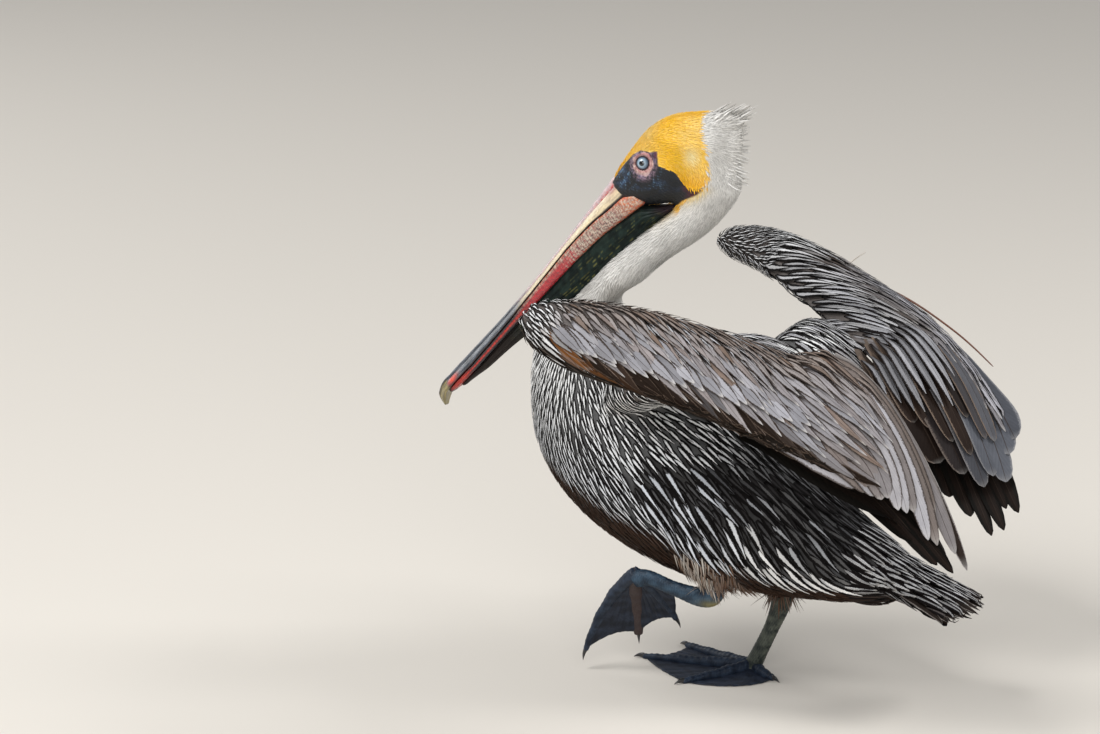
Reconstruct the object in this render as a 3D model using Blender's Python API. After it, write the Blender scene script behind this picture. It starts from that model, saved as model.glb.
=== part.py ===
# Brown pelican, life size, striding on its right foot with both wings half open.
# Metres, +Z up. The bird faces -Y and its left side is +X. Each sub-part is one closed solid.
import math

import bmesh
import bpy
from mathutils import Matrix, Vector

GAP = 0.0004              # clearance between touching sub-parts
BILL_DROP = math.radians(51.6)    # slope of the culmen
FOREHEAD = (-0.166, 0.5305)   # Y, Z where the culmen meets the feathers
EYE_PLACE = (0.0215, -0.120, 0.5565)
EYE_RADIUS = 0.0088
FLOOR = -0.006            # height of the sole before the bird is set on Z = 0
TOE_START = 0.011         # the toes part this far from the joint
TOE_HALF_WIDTH = 0.0042
VANE_TIP = 0.0016         # thinnest that a fan of feathers or a web gets
# Toes from the hallux round to the outer one: turn from straight ahead in degrees, and length.
PLANTED_TOES = [(150, 0.046), (54, 0.093), (2, 0.134), (-28, 0.122)]
LIFTED_TOES = [(84, 0.036), (36, 0.094), (6, 0.106), (-26, 0.128)]

# Trunk, neck and head: back line (Y, Z), breast line (Y, Z) and half width at each station,
# from the tail root forward to the face.
TRUNK = [
    ((0.166, 0.155), (0.166, 0.104), 0.036),
    ((0.135, 0.176), (0.137, 0.098), 0.052),
    ((0.095, 0.206), (0.100, 0.095), 0.069),
    ((0.050, 0.248), (0.052, 0.094), 0.087),
    ((0.005, 0.292), (0.000, 0.095), 0.100),
    ((-0.045, 0.326), (-0.060, 0.102), 0.106),
    ((-0.092, 0.348), (-0.123, 0.122), 0.106),
    ((-0.126, 0.362), (-0.177, 0.151), 0.100),
    ((-0.146, 0.374), (-0.221, 0.191), 0.090),
    ((-0.156, 0.384), (-0.248, 0.240), 0.077),
    ((-0.161, 0.392), (-0.257, 0.292), 0.062),
]
NECK_LOWER = [
    ((-0.161, 0.392), (-0.257, 0.292), 0.062),
    ((-0.160, 0.399), (-0.256, 0.335), 0.047),
    ((-0.153, 0.410), (-0.238, 0.369), 0.035),
    ((-0.140, 0.421), (-0.211, 0.396), 0.028),
    ((-0.122, 0.435), (-0.186, 0.424), 0.025),
]
NECK_UPPER = [
    ((-0.122, 0.435), (-0.186, 0.424), 0.025),
    ((-0.100, 0.449), (-0.160, 0.451), 0.0235),
    ((-0.076, 0.465), (-0.134, 0.474), 0.023),
    ((-0.052, 0.484), (-0.113, 0.490), 0.0235),
    ((-0.030, 0.508), (-0.097, 0.502), 0.0245),
    ((-0.016, 0.532), (-0.090, 0.509), 0.026),
    ((-0.0095, 0.556), (-0.0875, 0.5145), 0.0275),
]
HEAD = [
    ((-0.0095, 0.556), (-0.0875, 0.5145), 0.0275),
    ((-0.005, 0.583), (-0.091, 0.5130), 0.0295),
    ((-0.010, 0.616), (-0.096, 0.511), 0.0305),
    ((-0.042, 0.6170), (-0.103, 0.509), 0.033),
    ((-0.075, 0.609), (-0.110, 0.508), 0.0335),
    ((-0.105, 0.598), (-0.116, 0.507), 0.0325),
    ((-0.133, 0.579), (-0.121, 0.506), 0.0295),
    ((-0.152, 0.554), (-0.126, 0.505), 0.025),
    ((-0.166, 0.5305), (-0.1308, 0.504), 0.021),
]

# Bill: distance along the culmen, then heights under the culmen's straight line and half widths.
UPPER_BILL = [
    (0.0000, 0.0000, -0.0250, 0.0205),
    (0.0200, -0.0010, -0.0215, 0.0192),
    (0.0500, -0.0018, -0.0160, 0.0176),
    (0.0900, -0.0028, -0.0128, 0.0162),
    (0.1500, -0.0036, -0.0125, 0.0150),
    (0.2100, -0.0022, -0.0125, 0.0145),
    (0.2700, 0.0015, -0.0110, 0.0150),
    (0.3050, 0.0036, -0.0085, 0.0136),
    (0.3220, 0.0034, -0.0070, 0.0098),
    (0.3330, 0.0000, -0.0085, 0.0058),
    (0.3380, -0.0055, -0.0115, 0.0032),
]
LOWER_BILL = [
    (0.0000, -0.0256, -0.0435, 0.0200),
    (0.0200, -0.0221, -0.0370, 0.0188),
    (0.0500, -0.0166, -0.0275, 0.0172),
    (0.0900, -0.0134, -0.0228, 0.0156),
    (0.1500, -0.0131, -0.0205, 0.0142),
    (0.2100, -0.0131, -0.0195, 0.0134),
    (0.2700, -0.0116, -0.0175, 0.0132),
    (0.3050, -0.0091, -0.0140, 0.0112),
    (0.3200, -0.0078, -0.0110, 0.0070),
]
POUCH = [
    (-0.0300, -0.0705, -0.0712, 0.0080),
    (-0.0180, -0.0625, -0.0665, 0.0150),
    (0.0000, -0.0480, -0.0600, 0.0185),
    (0.0200, -0.0376, -0.0545, 0.0188),
    (0.0500, -0.0281, -0.0490, 0.0172),
    (0.0900, -0.0234, -0.0455, 0.0152),
    (0.1500, -0.0211, -0.0385, 0.0128),
    (0.2100, -0.0201, -0.0310, 0.0105),
    (0.2700, -0.0181, -0.0245, 0.0082),
    (0.3040, -0.0147, -0.0175, 0.0045),
]

# Wing shells: inner edge, outer edge, thickness and camber from the wrist back to the flight feathers.
LEFT_SHELL = [
    ((0.243, -0.159, 0.441), (0.251, -0.160, 0.434), 0.010, 0.000),
    ((0.233, -0.144, 0.452), (0.257, -0.146, 0.412), 0.030, 0.004),
    ((0.215, -0.108, 0.453), (0.262, -0.104, 0.394), 0.036, 0.008),
    ((0.188, -0.060, 0.444), (0.261, -0.048, 0.382), 0.034, 0.011),
    ((0.157, -0.012, 0.427), (0.254, 0.010, 0.367), 0.030, 0.014),
    ((0.127, 0.034, 0.408), (0.245, 0.064, 0.349), 0.025, 0.016),
    ((0.102, 0.080, 0.389), (0.231, 0.115, 0.327), 0.018, 0.016),
]
RIGHT_SHELL = [
    ((-0.247, -0.154, 0.404), (-0.256, -0.154, 0.413), 0.010, 0.000),
    ((-0.236, -0.134, 0.396), (-0.268, -0.132, 0.417), 0.030, 0.004),
    ((-0.214, -0.088, 0.392), (-0.282, -0.092, 0.409), 0.036, 0.006),
    ((-0.184, -0.044, 0.382), (-0.291, -0.048, 0.395), 0.032, 0.008),
    ((-0.153, -0.004, 0.371), (-0.295, 0.000, 0.372), 0.028, 0.010),
    ((-0.127, 0.038, 0.357), (-0.288, 0.044, 0.354), 0.024, 0.012),
    ((-0.106, 0.080, 0.335), (-0.272, 0.088, 0.338), 0.018, 0.014),
]
# Feather fans: guides across the roots, the middles and the tips, inner feathers first.
LEFT_SECONDARIES = (
    [(0.102, 0.080, 0.389), (0.231, 0.115, 0.327)],
    [(0.094, 0.170, 0.367), (0.150, 0.180, 0.340), (0.207, 0.172, 0.300)],
    [(0.140, 0.297, 0.205), (0.158, 0.262, 0.228), (0.178, 0.226, 0.260), (0.192, 0.200, 0.284)],
)
LEFT_PRIMARIES = (
    [(0.130, 0.075, 0.350), (0.220, 0.075, 0.326)],
    [(0.125, 0.165, 0.315), (0.185, 0.160, 0.286)],
    [(0.128, 0.250, 0.225), (0.142, 0.286, 0.192), (0.148, 0.262, 0.200), (0.162, 0.218, 0.246)],
)
RIGHT_SECONDARIES = (
    [(-0.106, 0.080, 0.335), (-0.272, 0.088, 0.338)],
    [(-0.090, 0.125, 0.290), (-0.150, 0.160, 0.292), (-0.236, 0.160, 0.296)],
    [(-0.082, 0.157, 0.248), (-0.110, 0.204, 0.213), (-0.140, 0.230, 0.204), (-0.178, 0.235, 0.246)],
)
RIGHT_PRIMARIES = (
    [(-0.140, 0.078, 0.318), (-0.258, 0.084, 0.325)],
    [(-0.115, 0.140, 0.258), (-0.220, 0.150, 0.280)],
    [(-0.090, 0.180, 0.205), (-0.102, 0.222, 0.160), (-0.122, 0.246, 0.160), (-0.136, 0.250, 0.186)],
)
# Upper arms: middle, half width and half depth from the shoulder to the elbow.
LEFT_UPPER_ARM = [
    ((0.062, -0.135, 0.318), 0.034, 0.030),
    ((0.080, -0.085, 0.332), 0.048, 0.030),
    ((0.098, -0.020, 0.362), 0.052, 0.028),
    ((0.104, 0.038, 0.378), 0.046, 0.026),
    ((0.098, 0.090, 0.362), 0.036, 0.020),
    ((0.084, 0.150, 0.316), 0.022, 0.004),
]
RIGHT_UPPER_ARM = [
    ((-0.062, -0.135, 0.300), 0.034, 0.028),
    ((-0.080, -0.085, 0.310), 0.048, 0.026),
    ((-0.096, -0.022, 0.319), 0.054, 0.026),
    ((-0.098, 0.012, 0.342), 0.054, 0.030),
    ((-0.094, 0.050, 0.338), 0.048, 0.022),
    ((-0.082, 0.100, 0.304), 0.034, 0.012),
    ((-0.074, 0.145, 0.262), 0.020, 0.004),
]
# Thighs: middle, half width and half depth from the hip down.
RIGHT_THIGH = [
    ((-0.044, -0.004, 0.150), 0.040, 0.052), ((-0.038, 0.008, 0.115), 0.034, 0.044),
    ((-0.028, 0.018, 0.094), 0.022, 0.028), ((-0.022, 0.024, 0.081), 0.013, 0.014),
]
LEFT_THIGH = [
    ((0.058, -0.040, 0.190), 0.044, 0.056), ((0.063, -0.028, 0.155), 0.034, 0.044),
    ((0.067, -0.019, 0.128), 0.021, 0.026), ((0.068, -0.016, 0.111), 0.013, 0.014),
]
# Shanks: (middle, radius) from the heel to the toes; the right one stands and the left one swings.
RIGHT_SHANK = [
    ((-0.022, 0.0245, 0.0905), 0.0100), ((-0.0215, 0.0235, 0.074), 0.0096),
    ((-0.021, 0.014, 0.048), 0.0074), ((-0.0205, 0.000, 0.018), 0.0078),
    ((-0.020, -0.008, 0.001), 0.0092),
]
LEFT_SHANK = [
    ((0.068, -0.015, 0.1135), 0.0100), ((0.068, -0.019, 0.103), 0.0105),
    ((0.068, -0.034, 0.100), 0.0092), ((0.069, -0.062, 0.106), 0.0070),
    ((0.070, -0.090, 0.114), 0.0074), ((0.070, -0.102, 0.112), 0.0085),
]
RIGHT_FOOT_JOINT = (-0.020, -0.009)
LEFT_FOOT_JOINT = (0.072, -0.106, 0.110)
LEFT_FOOT_PITCH = math.radians(36)
LEFT_FOOT_YAW = math.radians(-60)
LEFT_FOOT_CURL = 0.150    # radius that the toes of the lifted foot curl round
TAIL_FAN = (
    [(-0.034, 0.1665, 0.1315), (0.034, 0.1665, 0.1315)],
    [(-0.046, 0.212, 0.113), (0.0, 0.214, 0.1175), (0.046, 0.212, 0.113)],
    [(-0.060, 0.240, 0.102), (0.0, 0.262, 0.100), (0.060, 0.240, 0.102)],
)


def material(name, colour, roughness):
    finish = bpy.data.materials.new(name)
    finish.use_nodes = True
    shader = finish.node_tree.nodes["Principled BSDF"]
    shader.inputs["Base Color"].default_value = (*colour, 1.0)
    shader.inputs["Roughness"].default_value = roughness
    return finish


def smooth_rows(rows, steps):
    """Rows of numbers joined by a smooth curve, with each gap cut in steps."""
    last = len(rows) - 1
    fine = []
    for index in range(last):
        before, here = rows[max(index - 1, 0)], rows[index]
        there, after = rows[index + 1], rows[min(index + 2, last)]
        for step in range(steps):
            t = step / steps
            fine.append([
                0.5 * (2 * q + (r - p) * t + (2 * p - 5 * q + 4 * r - s) * t ** 2
                       + (3 * q - p - 3 * r + s) * t ** 3)
                for p, q, r, s in zip(before, here, there, after)
            ])
    fine.append(list(rows[last]))
    return fine


def along(guide, share):
    """Point at a share of the way along a smooth guide."""
    if len(guide) == 2:
        return Vector(guide[0]).lerp(Vector(guide[1]), share)
    fine = smooth_rows(guide, 8)
    place = share * (len(fine) - 1)
    index = min(int(place), len(fine) - 2)
    return Vector(fine[index]).lerp(Vector(fine[index + 1]), place - index)


def add_object(name, mesh, finish, group):
    mesh.materials.clear()
    mesh.materials.append(finish)
    mesh.shade_smooth()
    piece = bpy.data.objects.new(name, mesh)
    group.objects.link(piece)
    return piece


def solid_from(bm, name):
    bmesh.ops.recalc_face_normals(bm, faces=bm.faces)
    mesh = bpy.data.meshes.new(name)
    bm.to_mesh(mesh)
    bm.free()
    return mesh


def loft(name, rings, close_end=False):
    """Closed mesh through rings of points; close_end draws the last ring to one point."""
    bm = bmesh.new()
    loops = [[bm.verts.new(point) for point in ring] for ring in rings]
    count = len(rings[0])
    for near, far in zip(loops, loops[1:]):
        for index in range(count):
            after = (index + 1) % count
            bm.faces.new((near[index], near[after], far[after], far[index]))
    bm.faces.new(loops[0])
    if close_end:
        pole = bm.verts.new(sum((vert.co for vert in loops[-1]), Vector()) / count)
        for index in range(count):
            bm.faces.new((loops[-1][index], loops[-1][(index + 1) % count], pole))
    else:
        bm.faces.new(loops[-1])
    return solid_from(bm, name)


def sheet(name, tops, bottoms):
    """Closed mesh between two like grids of points, walled round their rim."""
    bm = bmesh.new()
    upper = [[bm.verts.new(point) for point in row] for row in tops]
    lower = [[bm.verts.new(point) for point in row] for row in bottoms]
    rows, columns = len(tops), len(tops[0])
    for row in range(rows - 1):
        for column in range(columns - 1):
            for grid in (upper, lower):
                bm.faces.new((grid[row][column], grid[row][column + 1],
                              grid[row + 1][column + 1], grid[row + 1][column]))
    rim = [(0, column) for column in range(columns)]
    rim += [(row, columns - 1) for row in range(1, rows)]
    rim += [(rows - 1, column) for column in range(columns - 2, -1, -1)]
    rim += [(row, 0) for row in range(rows - 2, 0, -1)]
    for (row, column), (next_row, next_column) in zip(rim, rim[1:] + rim[:1]):
        bm.faces.new((upper[row][column], upper[next_row][next_column],
                      lower[next_row][next_column], lower[row][column]))
    return solid_from(bm, name)


def oval_rings(stations, steps, sides, level=False):
    """Oval rings along a limb: (middle, half width, half depth), upright or, for a thigh, level."""
    rows = [(*middle, wide, deep) for middle, wide, deep in stations]
    rings = []
    for x, y, z, wide, deep in smooth_rows(rows, steps):
        ring = []
        for side in range(sides):
            turn = 2 * math.pi * side / sides
            across, along_limb = wide * math.cos(turn), deep * math.sin(turn)
            ring.append(Vector((x + across, y + along_limb, z) if level else
                               (x + across, y, z + along_limb)))
        rings.append(ring)
    return rings


def body_rings(stations, steps, sides):
    """Oval rings across the body, each set between its back point and its breast point."""
    rows = [(*back, *breast, width) for back, breast, width in stations]
    rings = []
    for back_y, back_z, breast_y, breast_z, width in smooth_rows(rows, steps):
        middle = Vector((0, (back_y + breast_y) / 2, (back_z + breast_z) / 2))
        reach = Vector((0, (back_y - breast_y) / 2, (back_z - breast_z) / 2))
        ring = []
        for side in range(sides):
            turn = 2 * math.pi * side / sides
            ring.append(middle + reach * math.cos(turn) + Vector((width * math.sin(turn), 0, 0)))
        rings.append(ring)
    return rings


def set_back(rings):
    """The same rings with the first one moved in by the gap, clear of the part before it."""
    nearest = min((a - b).length for a, b in zip(rings[0], rings[1]))
    share = GAP / nearest
    return [[a.lerp(b, share) for a, b in zip(rings[0], rings[1])]] + rings[1:]


def bill_point(distance, height, side=0.0):
    """Place on the bill, by its distance along the culmen and its height over it."""
    forward = Vector((0, -math.cos(BILL_DROP), -math.sin(BILL_DROP)))
    over = Vector((0, -math.sin(BILL_DROP), math.cos(BILL_DROP)))
    return Vector((side, *FOREHEAD)) + forward * distance + over * height


def bill_rings(stations, steps, sides, flat_side):
    """Bill sections, oval but flattened towards the mouth: flat_side 1 is the top, -1 the bottom."""
    rings = []
    for distance, top, bottom, width in smooth_rows(stations, steps):
        ring = []
        for side in range(sides):
            turn = 2 * math.pi * side / sides
            lift = math.cos(turn)
            if lift * flat_side > 0:
                lift = math.copysign(abs(lift) ** 0.4, lift)
            height = (top + bottom) / 2 + (top - bottom) / 2 * lift
            ring.append(bill_point(distance + GAP, height, width * math.sin(turn)))
        rings.append(ring)
    return rings


def shell_rings(stations, steps, sides, side_sign):
    """Lens sections of a wing, bowed outward by the camber, and the way the last one stands."""
    rows = [(*inner, *outer, thick, camber) for inner, outer, thick, camber in stations]
    fine = smooth_rows(rows, steps)
    rings = []
    for index, row in enumerate(fine):
        inner, outer = Vector(row[0:3]), Vector(row[3:6])
        before, after = fine[max(index - 1, 0)], fine[min(index + 1, len(fine) - 1)]
        run = Vector(after[0:3]) + Vector(after[3:6]) - Vector(before[0:3]) - Vector(before[3:6])
        out = run.cross(outer - inner).normalized() * -side_sign
        ring = []
        for step in range(sides):
            turn = 2 * math.pi * step / sides
            share = (1 - math.cos(turn)) / 2
            lift = row[7] * 4 * share * (1 - share) + row[6] / 2 * math.sin(turn)
            ring.append(inner.lerp(outer, share) + out * lift)
        rings.append(ring)
    return rings, out


def fan(name, guides, feathers, rows, root_thickness, tip_thickness, camber, notch, side_sign,
        start_gap, root_out=None, columns_each=4):
    """Fan of joined vanes with rounded tips, thick at the roots and thin at the tips.

    root_out is the way the root's section stands, where it has to lie flat on its carrier.
    """
    roots, middles, tips = guides
    columns = feathers * columns_each
    centre = []
    for column in range(columns + 1):
        share = column / columns
        root, middle, tip = along(roots, share), along(middles, share), along(tips, share)
        place = (column % columns_each) / columns_each
        reach = 1 - notch * abs(2 * place - 1) ** 2
        start = start_gap / (tip - root).length
        control = 2 * middle - (root + tip) / 2
        line = []
        for row in range(rows + 1):
            v = start + (reach - start) * row / rows
            line.append(root * (1 - v) ** 2 + control * 2 * v * (1 - v) + tip * v ** 2)
        centre.append(line)
    tops, bottoms = [], []
    for column, line in enumerate(centre):
        left, right = centre[max(column - 1, 0)], centre[min(column + 1, columns)]
        share = column / columns
        top, bottom = [], []
        for row, point in enumerate(line):
            run = line[min(row + 1, rows)] - line[max(row - 1, 0)]
            out = run.cross(right[row] - left[row]).normalized() * -side_sign
            if row == 0 and root_out:
                out = root_out
            thick = root_thickness + (tip_thickness - root_thickness) * (row / rows) ** 0.7
            swell = 2 * math.sqrt(share * (1 - share))
            thick = max(thick * swell, tip_thickness)
            bow = camber * 4 * share * (1 - share) * (1 - 0.6 * row / rows)
            top.append(point + out * (bow + thick / 2))
            bottom.append(point + out * (bow - thick / 2))
        tops.append(top)
        bottoms.append(bottom)
    return sheet(name, tops, bottoms)


def tube_rings(places, sides):
    """Round rings along a run of (point, radius) pairs."""
    rings = []
    for index, (point, radius) in enumerate(places):
        before = Vector(places[max(index - 1, 0)][0])
        after = Vector(places[min(index + 1, len(places) - 1)][0])
        turned = (after - before).to_track_quat("Z", "X")
        ring = []
        for side in range(sides):
            turn = 2 * math.pi * side / sides
            ring.append(Vector(point) + turned @ Vector((radius * math.cos(turn),
                                                         radius * math.sin(turn), 0)))
        rings.append(ring)
    return rings


def foot_grid(rows, mirror, toes):
    """Webbed foot lying flat, as rows of (point, height) from the hallux round to the outer toe."""
    columns = []
    for index, (degrees, length) in enumerate(toes):
        turn = math.radians(degrees)
        for edge, height in ((1, 0.0035), (0, 0.0085), (-1, 0.0035)):
            columns.append((turn, length, edge, height))
        if index + 1 < len(toes):
            next_degrees, next_length = toes[index + 1]
            for share in (1 / 3, 2 / 3):
                mid = turn + (math.radians(next_degrees) - turn) * share
                between = length * (1 - share) + next_length * share
                columns.append((mid, between * 0.80, 0, 0.0022))
    grid = []
    for turn, length, edge, height in columns:
        heading = Vector((math.sin(turn) * mirror, -math.cos(turn), 0))
        across = Vector((math.cos(turn) * mirror, math.sin(turn), 0))
        line = []
        for row in range(rows + 1):
            share = row / rows
            distance = TOE_START + (length - TOE_START) * share
            half = TOE_HALF_WIDTH * min(distance / 0.04, 1) * (1 - 0.8 * share ** 3)
            point = heading * distance + across * edge * half
            rise = height * (1 - 0.75 * share ** 2) + 0.006 * (1 - share) ** 3
            line.append((point, max(rise, VANE_TIP)))
        grid.append(line)
    return grid


def grown(piece, amount, group):
    """Hidden copy of a piece, swollen by amount, to cut its neighbour with."""
    mesh = piece.data.copy()
    normals = [vert.normal.copy() for vert in mesh.vertices]
    for vert, normal in zip(mesh.vertices, normals):
        vert.co = vert.co + normal * amount
    cutter = bpy.data.objects.new(piece.name + "_cutter", mesh)
    cutter.hide_render = True
    cutter.display_type = "WIRE"
    group.objects.link(cutter)
    return cutter


def cut(piece, cutter):
    change = piece.modifiers.new("cut_" + cutter.name, "BOOLEAN")
    change.operation = "DIFFERENCE"
    change.object = cutter


def build_body(group, finishes):
    """Trunk, neck and head, one run of rings parted by thin gaps."""
    pieces = {}
    for name, stations, steps, sides in (
        ("trunk", TRUNK, 2, 20), ("neck_lower", NECK_LOWER, 2, 20),
        ("neck_upper", NECK_UPPER, 2, 20), ("head", HEAD, 2, 20),
    ):
        rings = body_rings(stations, steps, sides)
        if name != "trunk":
            rings = set_back(rings)
        pieces[name] = add_object(name, loft(name, rings), finishes[name], group)
    return pieces


def build_bill(group, finishes):
    for name, stations, flat_side in (
        ("bill_upper", UPPER_BILL, -1), ("bill_lower", LOWER_BILL, 1), ("pouch", POUCH, 1),
    ):
        rings = bill_rings(stations, 1, 16, flat_side)
        add_object(name, loft(name, rings, close_end=True), finishes[name], group)


def build_eyes(head, group, cutters, finishes):
    """Eyeballs in sockets cut a gap wider."""
    for side, name in ((1, "eye_left"), (-1, "eye_right")):
        for target, size, hidden in ((name, EYE_RADIUS, False), (name + "_socket", EYE_RADIUS + GAP, True)):
            bm = bmesh.new()
            bmesh.ops.create_uvsphere(bm, u_segments=12, v_segments=8, radius=size,
                                      matrix=Matrix.Rotation(math.pi / 2, 4, "Y"))
            bmesh.ops.translate(bm, verts=bm.verts, vec=(side * EYE_PLACE[0], *EYE_PLACE[1:]))
            piece = add_object(target, solid_from(bm, target), finishes["eye"],
                               cutters if hidden else group)
            if hidden:
                piece.hide_render = True
                piece.display_type = "WIRE"
                cut(head, piece)


def build_wing(side, group, cutters, finishes, trunk):
    """Arm shell, flight feather fans and the upper arm that carries them from the body."""
    label = "left" if side > 0 else "right"
    shell, secondaries, primaries, arm = (
        (LEFT_SHELL, LEFT_SECONDARIES, LEFT_PRIMARIES, LEFT_UPPER_ARM) if side > 0 else
        (RIGHT_SHELL, RIGHT_SECONDARIES, RIGHT_PRIMARIES, RIGHT_UPPER_ARM)
    )
    rings, root_out = shell_rings(shell, 2, 18, side)
    add_object(f"wing_{label}_wrist", loft("wrist", rings[:5]), finishes["covert"], group)
    forearm = add_object(f"wing_{label}_forearm", loft("forearm", set_back(rings[4:])),
                         finishes["covert"], group)
    camber = shell[-1][3]
    long_vanes = add_object(
        f"wing_{label}_secondaries",
        fan("secondaries", secondaries, 7, 4, shell[-1][2], VANE_TIP, camber, 0.10, side, GAP, root_out),
        finishes["secondary"], group)
    under_vanes = add_object(
        f"wing_{label}_primaries",
        fan("primaries", primaries, 5, 4, 0.008, VANE_TIP, 0.006, 0.14, side, 0),
        finishes["primary"], group)
    upper_arm = add_object(f"wing_{label}_upper_arm", loft("upper_arm", oval_rings(arm, 2, 12)),
                           finishes["covert"], group)
    for neighbour in (forearm, long_vanes):
        cut(under_vanes, grown(neighbour, GAP, cutters))
    for neighbour in (trunk, forearm, long_vanes, under_vanes):
        cut(upper_arm, grown(neighbour, 2.5 * GAP, cutters))


def build_tail(group, finishes):
    mesh = fan("tail", TAIL_FAN, 6, 4, 0.044, 0.002, 0.0, 0.10, 1, GAP, Vector((0, 0, 1)))
    add_object("tail", mesh, finishes["tail"], group)


def curled(point):
    """The lifted foot's toes curl down from the joint, each round an arc."""
    level = Vector((point.x, point.y, 0))
    turn = level.length / LEFT_FOOT_CURL
    radius = LEFT_FOOT_CURL + point.z
    return level.normalized() * radius * math.sin(turn) + Vector(
        (0, 0, radius * math.cos(turn) - LEFT_FOOT_CURL))


def build_leg(label, thigh_places, shank_places, foot_place, toes, bend, group, cutters,
              finishes, trunk):
    """Feathered thigh, scaly shank and webbed foot."""
    thigh = add_object(f"thigh_{label}", loft("thigh", oval_rings(thigh_places, 2, 16, level=True)),
                       finishes["thigh"], group)
    shank = add_object(f"shank_{label}", loft("shank", tube_rings(shank_places, 12)),
                       finishes["leg"], group)
    grid = foot_grid(5, 1 if label == "right" else -1, toes)
    tops = [[foot_place @ bend(point + Vector((0, 0, rise))) for point, rise in line] for line in grid]
    bottoms = [[foot_place @ bend(point) for point, rise in line] for line in grid]
    foot = add_object(f"foot_{label}", sheet("foot", tops, bottoms), finishes["leg"], group)
    cut(shank, grown(foot, GAP, cutters))
    cut(thigh, grown(trunk, GAP, cutters))
    cut(thigh, grown(shank, GAP, cutters))


def build_legs(group, cutters, finishes, trunk):
    planted = Matrix.Translation((*RIGHT_FOOT_JOINT, FLOOR))
    lifted = (Matrix.Translation(LEFT_FOOT_JOINT) @ Matrix.Rotation(LEFT_FOOT_YAW, 4, "Z")
              @ Matrix.Rotation(LEFT_FOOT_PITCH, 4, "X"))
    build_leg("right", RIGHT_THIGH, RIGHT_SHANK, planted, PLANTED_TOES, lambda point: point,
              group, cutters, finishes, trunk)
    build_leg("left", LEFT_THIGH, LEFT_SHANK, lifted, LIFTED_TOES, curled,
              group, cutters, finishes, trunk)


def set_on_floor(group, cutters):
    """Carry every piece by one empty, with the middle of the bird's box over the origin."""
    corners = [vert.co for piece in group.objects for vert in piece.data.vertices]
    low = [min(corner[axis] for corner in corners) for axis in range(3)]
    high = [max(corner[axis] for corner in corners) for axis in range(3)]
    carrier = bpy.data.objects.new("pelican_origin", None)
    group.objects.link(carrier)
    carrier.location = (-(low[0] + high[0]) / 2, -(low[1] + high[1]) / 2, -low[2])
    for collection in (group, cutters):
        for piece in collection.objects:
            if piece != carrier:
                piece.parent = carrier


def main():
    for old in list(bpy.data.objects):
        bpy.data.objects.remove(old, do_unlink=True)
    group = bpy.data.collections.new("brown_pelican")
    cutters = bpy.data.collections.new("cutters")
    for collection in (group, cutters):
        bpy.context.scene.collection.children.link(collection)
    finishes = {
        "trunk": material("trunk_plumage", (0.05, 0.045, 0.042), 0.8),
        "neck_lower": material("neck_lower_plumage", (0.72, 0.70, 0.66), 0.85),
        "neck_upper": material("neck_upper_plumage", (0.82, 0.80, 0.76), 0.85),
        "head": material("head_plumage", (0.80, 0.62, 0.20), 0.8),
        "bill_upper": material("upper_bill_horn", (0.55, 0.42, 0.36), 0.4),
        "bill_lower": material("lower_bill_horn", (0.42, 0.12, 0.10), 0.4),
        "pouch": material("pouch_skin", (0.02, 0.03, 0.028), 0.45),
        "eye": material("eye", (0.45, 0.62, 0.72), 0.08),
        "covert": material("wing_coverts", (0.32, 0.30, 0.29), 0.7),
        "secondary": material("secondaries", (0.30, 0.28, 0.27), 0.6),
        "primary": material("primaries", (0.03, 0.028, 0.027), 0.5),
        "tail": material("tail_feathers", (0.12, 0.11, 0.11), 0.6),
        "thigh": material("thigh_plumage", (0.06, 0.055, 0.05), 0.8),
        "leg": material("leg_scutes", (0.10, 0.12, 0.14), 0.5),
    }
    pieces = build_body(group, finishes)
    build_bill(group, finishes)
    build_eyes(pieces["head"], group, cutters, finishes)
    for side in (1, -1):
        build_wing(side, group, cutters, finishes, pieces["trunk"])
    build_tail(group, finishes)
    build_legs(group, cutters, finishes, pieces["trunk"])
    set_on_floor(group, cutters)
    bpy.context.view_layer.update()


main()
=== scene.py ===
# A brown pelican, life size, striding with half-open wings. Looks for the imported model.
import math

import bmesh
import bpy
import numpy as np
from mathutils import Matrix, Vector
from mathutils.bvhtree import BVHTree


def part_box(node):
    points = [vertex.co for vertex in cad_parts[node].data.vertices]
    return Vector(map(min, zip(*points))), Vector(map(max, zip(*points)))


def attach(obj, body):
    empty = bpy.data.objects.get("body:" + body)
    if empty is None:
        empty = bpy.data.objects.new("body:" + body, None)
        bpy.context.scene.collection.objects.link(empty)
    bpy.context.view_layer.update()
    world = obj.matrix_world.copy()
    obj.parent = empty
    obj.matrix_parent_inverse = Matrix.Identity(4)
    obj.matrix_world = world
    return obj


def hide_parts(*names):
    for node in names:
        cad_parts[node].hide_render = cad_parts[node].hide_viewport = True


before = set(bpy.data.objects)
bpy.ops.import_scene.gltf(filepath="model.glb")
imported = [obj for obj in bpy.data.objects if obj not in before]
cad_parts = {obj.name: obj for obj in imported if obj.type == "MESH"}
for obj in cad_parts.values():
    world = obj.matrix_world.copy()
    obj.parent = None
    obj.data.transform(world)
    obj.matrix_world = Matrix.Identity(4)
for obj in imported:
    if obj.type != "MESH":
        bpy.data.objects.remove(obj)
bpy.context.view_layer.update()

# Places below are in the bird's own measures, metres, facing -Y; home carries them into the frame.
eyeMiddle = (0.0215, -0.120, 0.5565)
eyeLow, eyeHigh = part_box("eye_left")
home = np.array((eyeLow + eyeHigh) / 2) - np.array(eyeMiddle)


def unit(vectors):
    return vectors / np.maximum(np.linalg.norm(vectors, axis=-1, keepdims=True), 1e-9)


def ramp(value, start, end):
    share = np.clip((np.asarray(value, float) - start) / (end - start), 0, 1)
    return share * share * (3 - 2 * share)


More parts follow.
